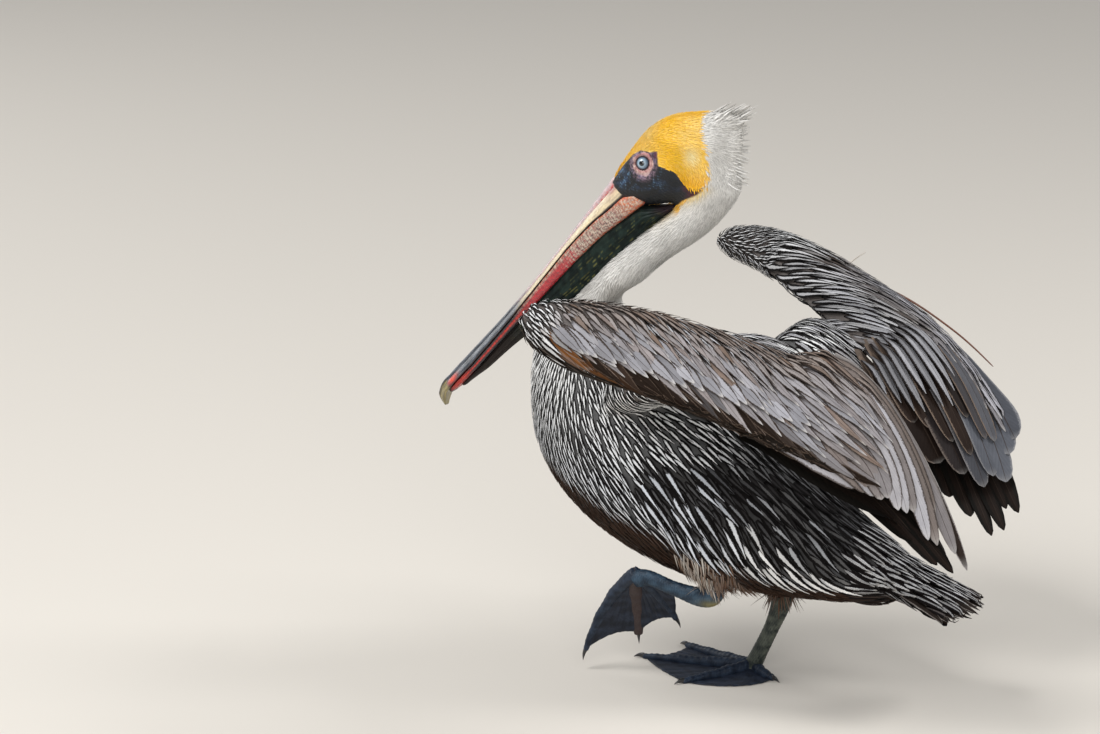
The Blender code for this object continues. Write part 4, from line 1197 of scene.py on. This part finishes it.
# each row of coverts: which of them by size share from low to high, and what the far wing changes
covertRows = {
    "Greater": coatLook(51, 0.072, 0.0128, 0.0032, 0.0009, 9, 0.05, "spear", spacing=0.0088, stretch=2.2,
                        sink=0.0030, low=0.62, high=1.6, far={"kind": "lance"}),
    "Median": coatLook(52, 0.044, 0.0086, 0.0026, 0.0006, 7, 0.06, "spear", spacing=0.0060, stretch=2.1,
                       sink=0.0028, low=0.30, high=0.66, far={}),
    "Lesser": coatLook(53, 0.0165, 0.0046, 0.0020, 0.0005, 5, 0.10, "pointed", spacing=0.0037, stretch=1.9,
                       sink=0.0026, low=-1.0, high=0.36,
                       far={"length": 0.0120, "width": 0.0034, "spacing": 0.0029, "stretch": 1.6}),
}


def silverRow(along):
    marks = marksOf((0.045, 0.034, 0.028), (0.34, 0.335, 0.36), 0.76, 0.6)
    return shaded(marks, draw(71, len(along), 0.6, 1.15), "streak")


def innerRow(along):
    marks = marksOf((0.007, 0.005, 0.005), (0.42, 0.42, 0.44), 0.55, 0.3)
    return shaded(marks, draw(76, len(along), 0.55, 1.15), "streak")


def darkRow(along):
    marks = marksOf((0.20, 0.15, 0.12), (0.016, 0.009, 0.006), 0.86, 0.1)
    rust = bump(along, 0.12, 0.12) * (draw(74, len(along)) > 0.45)
    mark(marks, 0.8 * rust, streak=(0.26, 0.10, 0.028))
    marks["width"] = marks["width"] - 0.4 * rust
    return marks


armCoat = coatLook(92, 0.030, 0.0070, 0.0030, 0.0006, 6, 0.08, "spear", spacing=0.0052, stretch=2.0,
                   sink=0.0020)

# single rows of large feathers on a wing: their count, and where they run along and lie across the arm
edgeRows = {
    "left": {
        "DarkEdge": coatLook(72, 0.070, 0.0105, 0.0020, 0.0010, 10, 0.03, "lance", sink=0.0030,
                             count=26, run=(0.16, 0.98), across=0.88, marks=darkRow),
        "SilverEdge": coatLook(73, 0.056, 0.0140, 0.0048, 0.0009, 10, 0.04, "lance", sink=0.0040,
                               count=20, run=(0.22, 0.98), across=0.64, marks=silverRow),
    },
    "right": {
        "InnerRow": coatLook(75, 0.052, 0.0098, 0.0036, 0.0009, 9, 0.10, "lance", sink=0.0030,
                             count=15, run=(0.62, 1.0), across=0.10, marks=innerRow),
        "LowerRow": coatLook(77, 0.060, 0.0120, 0.0044, 0.0009, 9, 0.12, "lance", sink=0.0030,
                             count=5, run=(0.94, 1.0), across=0.34, marks=innerRow),
    },
}


def buildWingCoats(material, longMaterial, body):
    wingNodes = [f"wing_{side}_{part}" for side in ("left", "right")
                 for part in ("wrist", "forearm", "secondaries")]
    wings = meltedTree(wingNodes)
    for side, label in ((1, "left"), (-1, "right")):
        dressWing(side, label, material, longMaterial, body, wings)


def dressWing(side, label, material, longMaterial, body, wings):
    tree, points, faces = wings
    lie = wingLie(label)
    edges = edgeRowsOf(label)
    span = unit(edges[2, 3:] - edges[2, :3])
    run = unit(edges[3, :3] + edges[3, 3:] - edges[0, :3] - edges[0, 3:])
    out = unit(np.cross(run, span)) * -side

    def unwrap(spots):
        along, across, _, _ = armAxes(spots, label)
        face = ((snap(tree, spots)[1] @ out) > 0) * 0.5
        return np.stack([0.02 + 0.45 * np.clip(across, 0, 1) + face, 0.03 + 0.6 * np.clip(along, 0, 1.5)], 1)

    def webbed(spots, normals):
        # skin between the wing and the upper arm, which the rows on the wing miss
        found = np.flatnonzero(wingPart(spots - home) * side > 0)
        nearest, facing = snap(tree, spots[found])
        wanted = np.zeros(len(spots))
        wanted[found] = ((spots[found] - nearest) * facing).sum(1) > -0.0016
        return wanted

    roots = scatter(*body[1:], webbed, armCoat["spacing"], armCoat["stretch"], lie, armCoat["seed"] + side)
    coatPiece(label + "ArmCoat", body[0], roots, lie, armCoat, scapularMarks(roots - home), material,
              unwrapBody)
    for name, row in edgeRows[label].items():
        along = np.linspace(*row["run"], row["count"])
        places = alongRows(edges, along)
        roots = places[:, :3] + (places[:, 3:] - places[:, :3]) * row["across"] + out * 0.02 + home
        coatPiece(label + name, tree, snap(tree, roots)[0], lie, row, row["marks"](along), longMaterial,
                  unwrap, longSection)
    painter = leftWingMarks if side > 0 else rightWingMarks
    for upper in (True, False):
        for (name, row), scale in zip(covertRows.items(), wingValues[label]["scales"]):
            look = {**row, "width": row["width"] * scale, "length": row["length"] * scale ** 0.5,
                    "seed": row["seed"] + 10 * (side > 0) + 20 * upper, **(row["far"] if side < 0 else {})}

            def keep(spots, normals):
                along, across, _, _ = armAxes(spots, label)
                size = across * 0.75 * ramp(along, 0.05, 0.38) + along * 0.55
                last = 1.22
                if side < 0:
                    size = across * 0.10 + along * 0.82
                    last = np.where(across > 0.60, 1.28, 0.96)
                own = (spots[:, 0] - home[0]) * side > 0
                return (own & ((normals @ out > 0.0) == upper) & (size > look["low"]) & (size < look["high"])
                        & (along < last - 0.2 * (not upper))).astype(float)

            roots = scatter(points, faces, keep, look["spacing"] * scale, look["stretch"], lie, look["seed"])
            along, across, _, _ = armAxes(roots, label)
            fleck = draw(look["seed"], len(roots))
            marks = (painter if upper else underWingMarks)(along, across, fleck)
            long = name == "Greater"
            coatPiece(f"{label}{name}{'Coverts' if upper else 'Linings'}", tree, roots, lie, look, marks,
                      longMaterial if long else material, unwrap,
                      longSection if long else smallSection)


# a worn bare shaft and a pale filament off the right wing's edge: places and radii
threads = (
    ("bareShaft", [(-0.286, 0.030, 0.362, 0.0013), (-0.288, 0.044, 0.360, 0.0013),
                   (-0.280, 0.078, 0.349, 0.0011), (-0.262, 0.122, 0.333, 0.0010),
                   (-0.245, 0.153, 0.321, 0.0009), (-0.225, 0.185, 0.307, 0.0006)],
     (0.13, 0.045, 0.022)),
    ("paleFilament", [(-0.290, -0.016, 0.376, 0.0008), (-0.292, -0.0126, 0.386, 0.0007),
                      (-0.294, -0.0040, 0.394, 0.0006), (-0.296, 0.0048, 0.400, 0.0004)], (0.55, 0.50, 0.43)),
)


def buildThreads():
    horn = makeSkinMaterial("shaftHorn", 0.5, 300.0, 0.0001)
    for name, stations, tint in threads:
        mesh = wrapped(name, 60, 10, shankPlace(stations, 60, 0.0))
        paint(mesh, "tint", tint)
        addPiece(name, mesh, horn)


def endCap(share, rows):
    # closes the ends of a tube: 0 in its first and last row, 1 soon after
    return np.sqrt(np.clip(np.minimum(share, 1 - share) * rows / 2.5, 0, 1))


def joined(name, meshes):
    bm = bmesh.new()
    for mesh in meshes:
        bm.from_mesh(mesh)
    for mesh in meshes:
        bpy.data.meshes.remove(mesh)
    return meshFrom(bm, name)


# where the bill starts and how far it points down, the groove between culmen and side, the pouch's folds
billValues = {"drop": 51.6, "forehead": (-0.166, 0.5305), "grooveTurn": 1.047, "folds": 0.0007}
# half sections, from the top round to the bottom: share of the half width, share of the half height
upperSection = [(0.0, 1.0), (0.14, 0.97), (0.26, 0.82), (0.34, 0.55), (0.385, 0.26), (0.45, 0.33),
                (0.61, 0.18), (0.80, -0.16), (0.94, -0.52), (1.0, -0.80), (0.92, -0.98), (0.55, -1.0),
                (0.0, -1.0)]
lowerSection = [(0.0, 1.0), (0.50, 1.0), (0.86, 0.98), (0.98, 0.84), (1.02, 0.50), (1.03, 0.10),
                (1.01, -0.35), (0.95, -0.72), (0.84, -0.93), (0.66, -1.0), (0.40, -1.0), (0.20, -1.0),
                (0.0, -1.0)]
ovalSection = [(math.sin(math.pi * k / 12), math.cos(math.pi * k / 12)) for k in range(13)]
# forms: distance along the culmen, top and bottom over the culmen's line, half width
upperForm = [(-0.0120, 0.0000, -0.0262, 0.0200), (0.0000, 0.0000, -0.0250, 0.0205),
             (0.0200, -0.0010, -0.0215, 0.0192), (0.0500, -0.0018, -0.0160, 0.0176),
             (0.0900, -0.0028, -0.0128, 0.0162), (0.1500, -0.0036, -0.0125, 0.0150),
             (0.2100, -0.0022, -0.0125, 0.0145), (0.2700, 0.0015, -0.0110, 0.0150),
             (0.3050, 0.0036, -0.0085, 0.0136), (0.3220, 0.0034, -0.0082, 0.0098),
             (0.3330, -0.0004, -0.0125, 0.0058), (0.3385, -0.0075, -0.0165, 0.0030)]
lowerForm = [(-0.0150, -0.0330, -0.0470, 0.0222), (0.0000, -0.0250, -0.0445, 0.0218),
             (0.0200, -0.0216, -0.0400, 0.0198), (0.0500, -0.0161, -0.0335, 0.0177),
             (0.0900, -0.0129, -0.0285, 0.0160), (0.1500, -0.0126, -0.0240, 0.0145),
             (0.2100, -0.0126, -0.0205, 0.0135), (0.2700, -0.0111, -0.0175, 0.0132),
             (0.3050, -0.0091, -0.0140, 0.0112), (0.3210, -0.0078, -0.0110, 0.0066)]
pouchForm = [(-0.0330, -0.0705, -0.0730, 0.0080), (-0.0180, -0.0605, -0.0710, 0.0150),
             (0.0000, -0.0400, -0.0690, 0.0198), (0.0200, -0.0340, -0.0670, 0.0186),
             (0.0500, -0.0260, -0.0635, 0.0168), (0.0900, -0.0205, -0.0590, 0.0150),
             (0.1500, -0.0185, -0.0470, 0.0128), (0.2100, -0.0180, -0.0335, 0.0105),
             (0.2700, -0.0165, -0.0245, 0.0082), (0.3060, -0.0130, -0.0172, 0.0045)]


def billAxes():
    drop = math.radians(billValues["drop"])
    return (np.array((0, *billValues["forehead"])), np.array((0, -math.cos(drop), -math.sin(drop))),
            np.array((0, -math.sin(drop), math.cos(drop))))


def billForm(form, rows, section, shape):
    # place(along, across) of one part of the bill; shape gives how far it stands out of its plain oval
    form = np.array(form)
    start, forward, over = billAxes()

    def place(along, across):
        distance = form[0, 0] + (form[-1, 0] - form[0, 0]) * along
        share = np.interp(distance, form[:, 0], np.linspace(0, 1, len(form)))
        _, top, bottom, width = alongRows(form, share).T
        turn = 2 * np.pi * across
        turn = np.where(turn > np.pi, turn - 2 * np.pi, turn)
        side, lift = alongRows(section, np.abs(turn) / np.pi).T
        cap = endCap(along, rows)
        out = shape(distance, turn) * cap
        height = (top + bottom) / 2 + (top - bottom) / 2 * lift * cap + out * np.cos(turn)
        side = side * np.sign(turn) * width * cap + out * np.sin(turn)
        return (start + distance[:, None] * forward + height[:, None] * over
                + side[:, None] * np.array((1.0, 0, 0)))
    return place


def billAt(local, form, section):
    # distance along the culmen and turn round the section, 0 at its top
    form = np.array(form)
    start, forward, over = billAxes()
    distance, height = (local - start) @ forward, (local - start) @ over
    top, bottom, width = (np.interp(distance, form[:, 0], form[:, k]) for k in (1, 2, 3))
    places = alongRows(section, np.linspace(0, 1, 121))
    lift = (height - (top + bottom) / 2) / np.maximum((top - bottom) / 2, 1e-4)
    own = np.stack([np.abs(local[:, 0]) / width, lift], 1)
    nearest = ((own[:, None] - places[None]) ** 2).sum(2).argmin(1)
    return distance, nearest / 120 * np.pi * np.where(local[:, 0] < 0, -1, 1)


def grainAlong(distance, turn, long, round_, seed):
    # streaks that run along the bill
    return noiseAt(np.stack([distance * long, np.cos(turn) * round_, np.sin(turn) * round_], 1), 1.0, seed)


def upperShape(distance, turn):
    along = ramp(distance, -0.002, 0.012) * ramp(-distance, -0.326, -0.312)
    groove = 0.0005 * np.exp(-((np.abs(turn) - billValues["grooveTurn"]) / 0.10) ** 2)
    nail = 0.0007 * ramp(distance, 0.306, 0.312) * (np.abs(turn) < 2.2)
    return nail - groove * along + 0.00016 * grainAlong(distance, turn, 60, 5, 31)


def upperMarks(local):
    distance, turn = billAt(local, upperForm, upperSection)
    streaks, mottle = grainAlong(distance, turn, 40, 7, 32), noiseAt(local, 260, 33)
    lean, groove = np.abs(turn), billValues["grooveTurn"]
    dark = ramp(distance + 0.012 * streaks, 0.150, 0.200)
    steel = mix((0.035, 0.042, 0.055), (0.30, 0.33, 0.38), 0.35 + 0.6 * streaks)
    red = ramp(-distance, -0.055, -0.010) * ramp(lean, 0.55, 0.95) * np.clip(0.6 + 0.7 * mottle, 0, 1)
    # painted highlight: where the culmen turns dark steel, its very top is pale grey
    culmen = layered(mix((0.46, 0.40, 0.42), (0.62, 0.42, 0.41), 0.5 + 0.6 * mottle),
                     ((0.55, 0.06, 0.05), red),
                     (blend(steel * 0.5, (0.42, 0.45, 0.50), ramp(-lean, -0.40, -0.15)), dark))
    spot = bump(distance, 0.004, 0.010) * bump(lean, 1.45, 0.35)
    panel = layered(mix((0.70, 0.58, 0.37), (0.46, 0.36, 0.26), 0.15 + 0.8 * streaks),
                    ((0.30, 0.05, 0.05), 0.9 * spot), (steel * 0.55, dark))
    blush = np.clip(1.2 * bump(distance, 0.304, 0.008) * bump(lean, 1.8, 0.45), 0, 1)
    horn = blend((0.020, 0.020, 0.022), mix((0.10, 0.085, 0.045), (0.36, 0.29, 0.12), 0.5 + 0.6 * streaks),
                 ramp(lean, 0.35, 0.9))
    return layered(culmen, (panel, ramp(lean, groove - 0.02, groove + 0.12)),
                   ((0.030, 0.012, 0.014), 0.92 * bump(lean, groove, 0.060)),
                   ((0.020, 0.015, 0.017), ramp(lean, 2.22, 2.42)),
                   ((0.60, 0.05, 0.02), blush), (horn, ramp(distance, 0.311, 0.316)))


def lowerShape(distance, turn):
    groove = 0.0007 * np.exp(-((np.abs(turn) - 1.15) / 0.13) ** 2) * ramp(distance, 0.12, 0.18)
    return 0.00030 * grainAlong(distance, turn, 120, 9, 35) - groove


def lowerMarks(local):
    distance, turn = billAt(local, lowerForm, lowerSection)
    lean = np.abs(turn)
    mottle, fine = noiseAt(local, 210, 36), noiseAt(local, 640, 37)
    red = mix((0.60, 0.045, 0.035), (0.66, 0.20, 0.05), 0.4 + 0.8 * fine)
    rim = np.clip(ramp(lean, 1.75, 2.05) + 0.8 * ramp(-lean, -0.95, -0.75), 0, 1) * (0.5 + 0.6 * mottle)
    base = 0.8 * ramp(-distance, -0.022, 0.002) * ramp(fine, -0.1, 0.3)
    crimson = ramp(distance + 0.012 * mottle, 0.072, 0.112) * ramp(lean, 0.8, 1.3)
    line = bump(lean, 1.40, 0.20) * ramp(distance, 0.165, 0.20) * ramp(-distance, -0.325, -0.300)
    tip = ramp(distance, 0.272, 0.300) * ramp(-distance, -0.318, -0.311)
    return layered(mix((0.46, 0.36, 0.28), (0.32, 0.13, 0.11), 0.40 + 0.8 * mottle),
                   ((0.62, 0.53, 0.42), 0.7 * ramp(-fine - 0.5 * mottle, 0.2, 0.6)),
                   ((0.060, 0.045, 0.048), 0.85 * ramp(fine + 0.3 * mottle, 0.15, 0.55)),
                   (red, np.clip(rim + base, 0, 1)),
                   (mix((0.50, 0.012, 0.024), (0.16, 0.02, 0.03), 0.3 + fine), 0.95 * crimson),
                   ((0.018, 0.018, 0.022), ramp(distance + 0.01 * fine, 0.160, 0.200)),
                   ((0.50, 0.030, 0.020), np.clip((0.9 + 0.5 * mottle) * line, 0, 1)),
                   ((0.50, 0.030, 0.018), 0.8 * tip))


def pouchShape(distance, turn):
    wander = 0.9 * np.sin(distance * 46) + 0.5 * np.sin(distance * 19 + 1)
    folds = np.sin(turn * 11 + wander) + 0.6 * np.sin(turn * 23 - 1.4 * wander)
    fade = (0.4 + 0.6 * ramp(np.abs(turn), 0.6, 1.4)) * ramp(-distance, -0.31, -0.20)
    return billValues["folds"] * folds * fade


def pouchMarks(local):
    distance, turn = billAt(local, pouchForm, ovalSection)
    waves = noiseAt(local, 90, 41)
    strands = np.sin(turn * 30 + 1.3 * np.sin(distance * 38) + waves)
    lines = ramp(strands, 0.90, 0.99) * ramp(np.abs(turn), 1.0, 1.7) * np.clip(0.5 + waves, 0, 1)
    return layered(mix((0.004, 0.009, 0.008), (0.013, 0.025, 0.020), 0.4 + 0.7 * waves),
                   ((0.17, 0.16, 0.045), 0.7 * lines), ((0.024, 0.018, 0.016), ramp(distance, 0.17, 0.24)),
                   ((0.022, 0.012, 0.016), ramp(-distance, 0.006, 0.022)))


def buildBill():
    horn = makeSkinMaterial("billHorn", 0.34, 700.0, 0.00012, 0.35)
    soft = makeSkinMaterial("pouchHide", 0.55, 900.0, 0.00025, 0.03, specular=0.15)
    parts = (
        ("billUpper", upperForm, upperSection, upperShape, upperMarks, horn,
         "bill_horn", "bill_upper", 340),
        ("billLower", lowerForm, lowerSection, lowerShape, lowerMarks, horn,
         "mandible_horn", "bill_lower", 320),
        ("pouchSkin", pouchForm, ovalSection, pouchShape, pouchMarks, soft,
         "pouch_skin", "pouch", 220))
    for name, form, section, shape, marks, material, slot, replaced, rows in parts:
        mesh = wrapped(name, rows, 96, billForm(form, rows, section, shape))
        paint(mesh, "tint", marks(meshPoints(mesh) - home))
        addPiece(name, mesh, material, (replaced,))
        print("  ", name, len(mesh.polygons), "faces")


# radii of the pupil, of the iris and of its edge on the ball, the cornea's height and the lid rim's thickness
irisValues = {"pupil": 0.0028, "iris": 0.0063, "edge": 0.0068, "bulge": 0.0009, "rim": 0.0007}


def irisTint(off, angle):
    # colours of the ball at a distance off its axis and an angle round it
    pupil, iris = irisValues["pupil"], irisValues["iris"]
    fibre = 0.5 + 0.5 * np.sin(angle * 37 + 2.0 * np.sin(angle * 5)) * np.sin(off * 2400 + angle * 3)
    return layered(mix((0.10, 0.17, 0.24), (0.28, 0.40, 0.50), fibre),
                   ((0.50, 0.62, 0.69), 0.45 * bump(off, 0.0038, 0.0007)),
                   ((0.035, 0.070, 0.110), ramp(off, 0.0050, iris)),
                   ((0.010, 0.006, 0.008), ramp(off, iris, irisValues["edge"])),
                   ((0.0015, 0.0015, 0.002), ramp(-off, -pupil - 0.0002, -pupil + 0.0002)))


def buildEyes():
    material = makeSkinMaterial("eyeGloss", 0.12, 200.0, 0.0, 1.0, glossRoughness=0.03)
    rimMaterial = makeSkinMaterial("lidRim", 0.3, 900.0, 0.0001, 0.3)
    radius, opening = eyeValues["radius"], eyeValues["opening"]
    for side, label in ((1, "left"), (-1, "right")):
        axis = eyeAxis(side)
        middle = np.array(eyeMiddle) * (side, 1, 1)
        turned = np.array(Vector(axis).to_track_quat("Z", "Y").to_matrix())
        bm = bmesh.new()
        bmesh.ops.create_uvsphere(bm, u_segments=72, v_segments=90, radius=radius)
        mesh = meshFrom(bm, f"{label}Eye")
        points = meshPoints(mesh)
        off, angle = np.hypot(points[:, 0], points[:, 1]), np.arctan2(points[:, 1], points[:, 0])
        front = points[:, 2] > 0
        points[:, 2] += irisValues["bulge"] * np.clip(1 - (off / irisValues["edge"]) ** 2, 0, 1) * front
        mesh.vertices.foreach_set("co", (points @ turned.T + middle + home).ravel())
        mesh.update()
        mesh.shade_smooth()
        paint(mesh, "tint", np.where(front[:, None], irisTint(off, angle), 0.01))
        addPiece(f"{label}Eye", mesh, material, (f"eye_{label}",))

        def ring(along, across):
            turn, around = 2 * np.pi * along, 2 * np.pi * across
            thick = irisValues["rim"] * (1 + 0.12 * np.sin(turn * 19))
            lift = math.sqrt(radius ** 2 - opening ** 2) + 0.0002 + thick * np.sin(around)
            reach = opening + 0.0001 + thick * np.cos(around)
            return middle + np.stack([reach * np.cos(turn), reach * np.sin(turn), lift], 1) @ turned.T

        rim = wrapped(f"{label}LidRim", 90, 10, ring)
        paint(rim, "tint", (0.040, 0.010, 0.013))
        addPiece(f"{label}LidRim", rim, rimMaterial)


# the shanks from the thigh down to the foot: places and radii
shankPlaces = {
    "right": [(-0.0225, 0.0250, 0.1080, 0.0098), (-0.022, 0.0245, 0.0905, 0.0104),
              (-0.0215, 0.0235, 0.074, 0.0098), (-0.021, 0.014, 0.048, 0.0076),
              (-0.0205, 0.000, 0.018, 0.0078), (-0.020, -0.008, 0.001, 0.0088),
              (-0.020, -0.0095, -0.004, 0.0080)],
    "left": [(0.068, -0.014, 0.1250, 0.0098), (0.068, -0.015, 0.1135, 0.0106), (0.068, -0.019, 0.103, 0.0108),
             (0.068, -0.034, 0.100, 0.0094), (0.069, -0.062, 0.106, 0.0071), (0.070, -0.090, 0.114, 0.0075),
             (0.070, -0.102, 0.112, 0.0086), (0.071, -0.108, 0.109, 0.0070)],
}
# the toes' lengths and their turns in degrees, out from straight ahead
toeLengths = {"right": {"hallux": 0.046, "inner": 0.093, "middle": 0.134, "outer": 0.122},
              "left": {"hallux": 0.036, "inner": 0.094, "middle": 0.106, "outer": 0.128}}
toeTurns = {"right": {"hallux": 150, "inner": 54, "middle": 2, "outer": -28},
            "left": {"hallux": 84, "inner": 36, "middle": 6, "outer": -26}}
# each foot's joint, yaw and pitch in degrees, and the radius its toes curl to, if any
footPlaces = {"right": ((-0.020, -0.009, -0.006), 0, 0, 0.0),
              "left": ((0.072, -0.106, 0.110), -60, 36, 0.150)}
footValues = {"toeStart": 0.011, "toeWidth": 0.0058, "clawLength": 0.0135, "webThickness": 0.0015}


def scuteRelief(lengthwise, around):
    # 1 on the scales and 0 in the joints between them, in offset rows
    shifted = around + 0.5 * (np.floor(lengthwise) % 2)
    edge = np.maximum(np.abs(lengthwise % 1 - 0.5), np.abs(shifted % 1 - 0.5)) * 2
    return 1 - ramp(edge, 0.62, 1.0)


def shankPlace(stations, rows, scutes=0.00045):
    stations = np.array(stations)

    def place(along, across):
        here = alongRows(stations, along)
        before = alongRows(stations, np.clip(along - 0.01, 0, 1))
        after = alongRows(stations, np.clip(along + 0.01, 0, 1))
        way = unit(after[:, :3] - before[:, :3])
        right = np.tile((1.0, 0, 0), (len(way), 1))
        right = unit(right - (right * way).sum(1)[:, None] * way)
        front = np.cross(way, right)
        turn = 2 * np.pi * across
        relief = scuteRelief(along * 34, across * 15) * scutes
        radius = (here[:, 3] + relief) * endCap(along, rows)
        return (here[:, :3] + right * (0.90 * radius * np.cos(turn))[:, None]
                + front * (1.06 * radius * np.sin(turn))[:, None])
    return place


def footCarrier(side):
    # from the flat foot to its place: curl, pitch, turn and shift
    joint, yaw, pitch, curl = footPlaces[side]
    turned = np.array(Matrix.Rotation(math.radians(yaw), 3, "Z")
                      @ Matrix.Rotation(math.radians(pitch), 3, "X"))

    def carry(points):
        if curl:
            flat = np.maximum(np.hypot(points[:, 0], points[:, 1]), 1e-6)
            turn, radius = flat / curl, curl + points[:, 2]
            points = np.stack([points[:, 0] / flat * radius * np.sin(turn),
                               points[:, 1] / flat * radius * np.sin(turn), radius * np.cos(turn) - curl], 1)
        return points @ turned.T + np.array(joint)
    return carry


def toeFrame(side, name):
    # the way a toe points and the way across it, both flat
    mirror = 1 if side == "right" else -1
    turn = math.radians(toeTurns[side][name])
    return (np.array((math.sin(turn) * mirror, -math.cos(turn), 0)),
            np.array((math.cos(turn) * mirror, math.sin(turn), 0)))


def footPoints(distance, wide, height, heading, beside):
    return heading * distance[:, None] + beside * wide[:, None] + np.array((0, 0, 1.0)) * height[:, None]


def toePlace(side, name, rows):
    heading, beside = toeFrame(side, name)
    length, carry = toeLengths[side][name] - 0.006, footCarrier(side)
    plump = 1.25 if side == "left" and name == "middle" else 1.0

    def place(along, across):
        distance = along * length
        joints = sum(bump(along, at, 0.07) for at in (0.36, 0.64, 0.88))
        half = footValues["toeWidth"] * plump * np.minimum(0.75 + distance / 0.05, 1)
        half = half * (1 - 0.55 / plump ** 2 * along ** 2.5) * (1 + 0.16 * joints)
        tall = (0.0100 * (1 - 0.50 * along ** 2) + 0.006 * (1 - along) ** 3) * (1 + 0.10 * joints)
        turn = 2 * np.pi * across
        lift = np.cos(turn)
        scutes = scuteRelief(distance / 0.0034, np.full(len(along), 0.5)) * ramp(lift, 0.1, 0.5)
        pads = scuteRelief(distance / 0.0016, across * 40) * ramp(-lift, 0.2, 0.6)
        cap = endCap(along, rows)
        flatter = np.where(lift < 0, -np.abs(lift) ** 0.5, lift)
        height = tall / 2 * (1 + flatter * cap) + 0.00050 * scutes * cap
        wide = (half + 0.00015 * pads) * np.sin(turn) * cap
        return carry(footPoints(distance, wide, height, heading, beside))
    return place


def clawPlace(side, name, rows):
    heading, beside = toeFrame(side, name)
    start, reach, carry = toeLengths[side][name] - 0.0095, footValues["clawLength"], footCarrier(side)

    def place(along, across):
        turn = 2 * np.pi * across
        radius = 0.0027 * (1 - along ** 1.6) * (along > 0) + 0.0001 * (along > 0) * (along < 1)
        middle = 0.0030 + 0.0012 * np.sin(along * 2.6) - 0.0030 * along ** 2
        height = np.maximum(middle + radius * 1.15 * np.cos(turn), 0)
        return carry(footPoints(start + reach * along, radius * 0.8 * np.sin(turn), height, heading, beside))
    return place


def webPlace(side, first, second, rows):
    mirror = 1 if side == "right" else -1
    turns, lengths, carry = toeTurns[side], toeLengths[side], footCarrier(side)
    root = footValues["toeStart"] * 0.5

    def place(along, across):
        upper = across <= 0.5
        share = np.where(upper, across * 2, 2 - across * 2)
        turn = np.radians(turns[first] * (1 - share) + turns[second] * share)
        reach = lengths[first] * (1 - share) + lengths[second] * share - 0.010
        reach = reach * (1 - 0.10 * np.sin(np.pi * share) ** 0.8)
        thick = footValues["webThickness"] * endCap(along, rows) * np.clip(np.sin(np.pi * share) * 6, 0, 1)
        folds = 0.00035 * np.sin(share * 37 + 3 * along) + 0.00025 * np.sin(share * 71 - 5 * along)
        lift = 0.0012 + 0.0050 * (1 - along) ** 3 + folds * along * np.sin(np.pi * share)
        height = np.maximum(lift + np.where(upper, thick / 2, -thick / 2), 0.0002)
        heading = np.stack([np.sin(turn) * mirror, -np.cos(turn), np.zeros(len(turn))], 1)
        return carry(footPoints(root + (reach - root) * along, np.zeros(len(turn)), height, heading, heading))
    return place


# dark and light of each kind of skin on the legs, and how strongly its waves and grain mix them
legColours = {
    "leftShank": ((0.008, 0.017, 0.032), (0.038, 0.072, 0.110), 0.45, 0.5, 0.35),
    "rightShank": ((0.016, 0.022, 0.020), (0.098, 0.108, 0.086), 0.45, 0.5, 0.35),
    "toe": ((0.005, 0.010, 0.022), (0.024, 0.038, 0.064), 0.4, 0.5, 0.4),
    "web": ((0.006, 0.009, 0.017), (0.020, 0.028, 0.048), 0.4, 0.6, 0.3),
}


def legTint(mesh, kind):
    local = meshPoints(mesh) - home
    _, y, z = local.T
    low, high, even, waves, grain = legColours[kind]
    tint = mix(low, high, even + waves * noiseAt(local, 70, 51) + grain * noiseAt(local, 420, 52))
    if kind == "leftShank":
        heel = bump(y, -0.012, 0.014) * bump(z, 0.093, 0.006)
        tint = blend(tint, (0.26, 0.22, 0.08), 0.8 * heel)
    return tint


def buildLegs():
    scaly = makeSkinMaterial("scalyLeg", 0.55, 900.0, 0.0002, 0.05, specular=0.28)
    horn = makeSkinMaterial("clawHorn", 0.3, 300.0, 0.0001, 0.3)
    for side in ("left", "right"):
        shank = wrapped(f"{side}Shank", 170, 75, shankPlace(shankPlaces[side], 170))
        paint(shank, "tint", legTint(shank, f"{side}Shank"))
        addPiece(f"{side}Shank", shank, scaly, (f"shank_{side}",))
        pieces, claws = [], []
        names = list(toeLengths[side])
        for name in names:
            toe = wrapped(f"{side}Toe", 110, 30, toePlace(side, name, 110))
            muddy = 0.75 * (side == "left" and name == "middle")
            paint(toe, "tint", blend(legTint(toe, "toe"), (0.060, 0.036, 0.028), muddy))
            claw = wrapped(f"{side}Claw", 14, 12, clawPlace(side, name, 14))
            paint(claw, "tint", (0.018, 0.017, 0.018))
            pieces.append(toe)
            claws.append(claw)
        for first, second in zip(names, names[1:]):
            web = wrapped(f"{side}Web", 60, 72, webPlace(side, first, second, 60))
            paint(web, "tint", legTint(web, "web"))
            pieces.append(web)
        foot = joined(f"{side}Foot", pieces)
        addPiece(f"{side}Foot", foot, scaly, (f"foot_{side}",))
        addPiece(f"{side}Claws", joined(f"{side}Claws", claws), horn)
        print("  ", side, "leg", len(shank.polygons) + len(foot.polygons), "faces")


print("stage")
buildStage()
print("skin")
skin = buildSkin()
print("   skin faces", len(skin.data.polygons))
featherMaterial = makeFeatherMaterial("softVane", featherLook["roughness"])
longMaterial = makeFeatherMaterial("longVane", featherLook["longRoughness"], featherLook["quillWidth"])
body = treeOf(skin.data)

print("bill, eyes and legs")
buildBill()
buildEyes()
buildLegs()

print("body coats")
buildBodyCoats(featherMaterial, longMaterial, body)

print("wings and tail")
buildFans(longMaterial)
buildWingCoats(featherMaterial, longMaterial, body)
buildThreads()
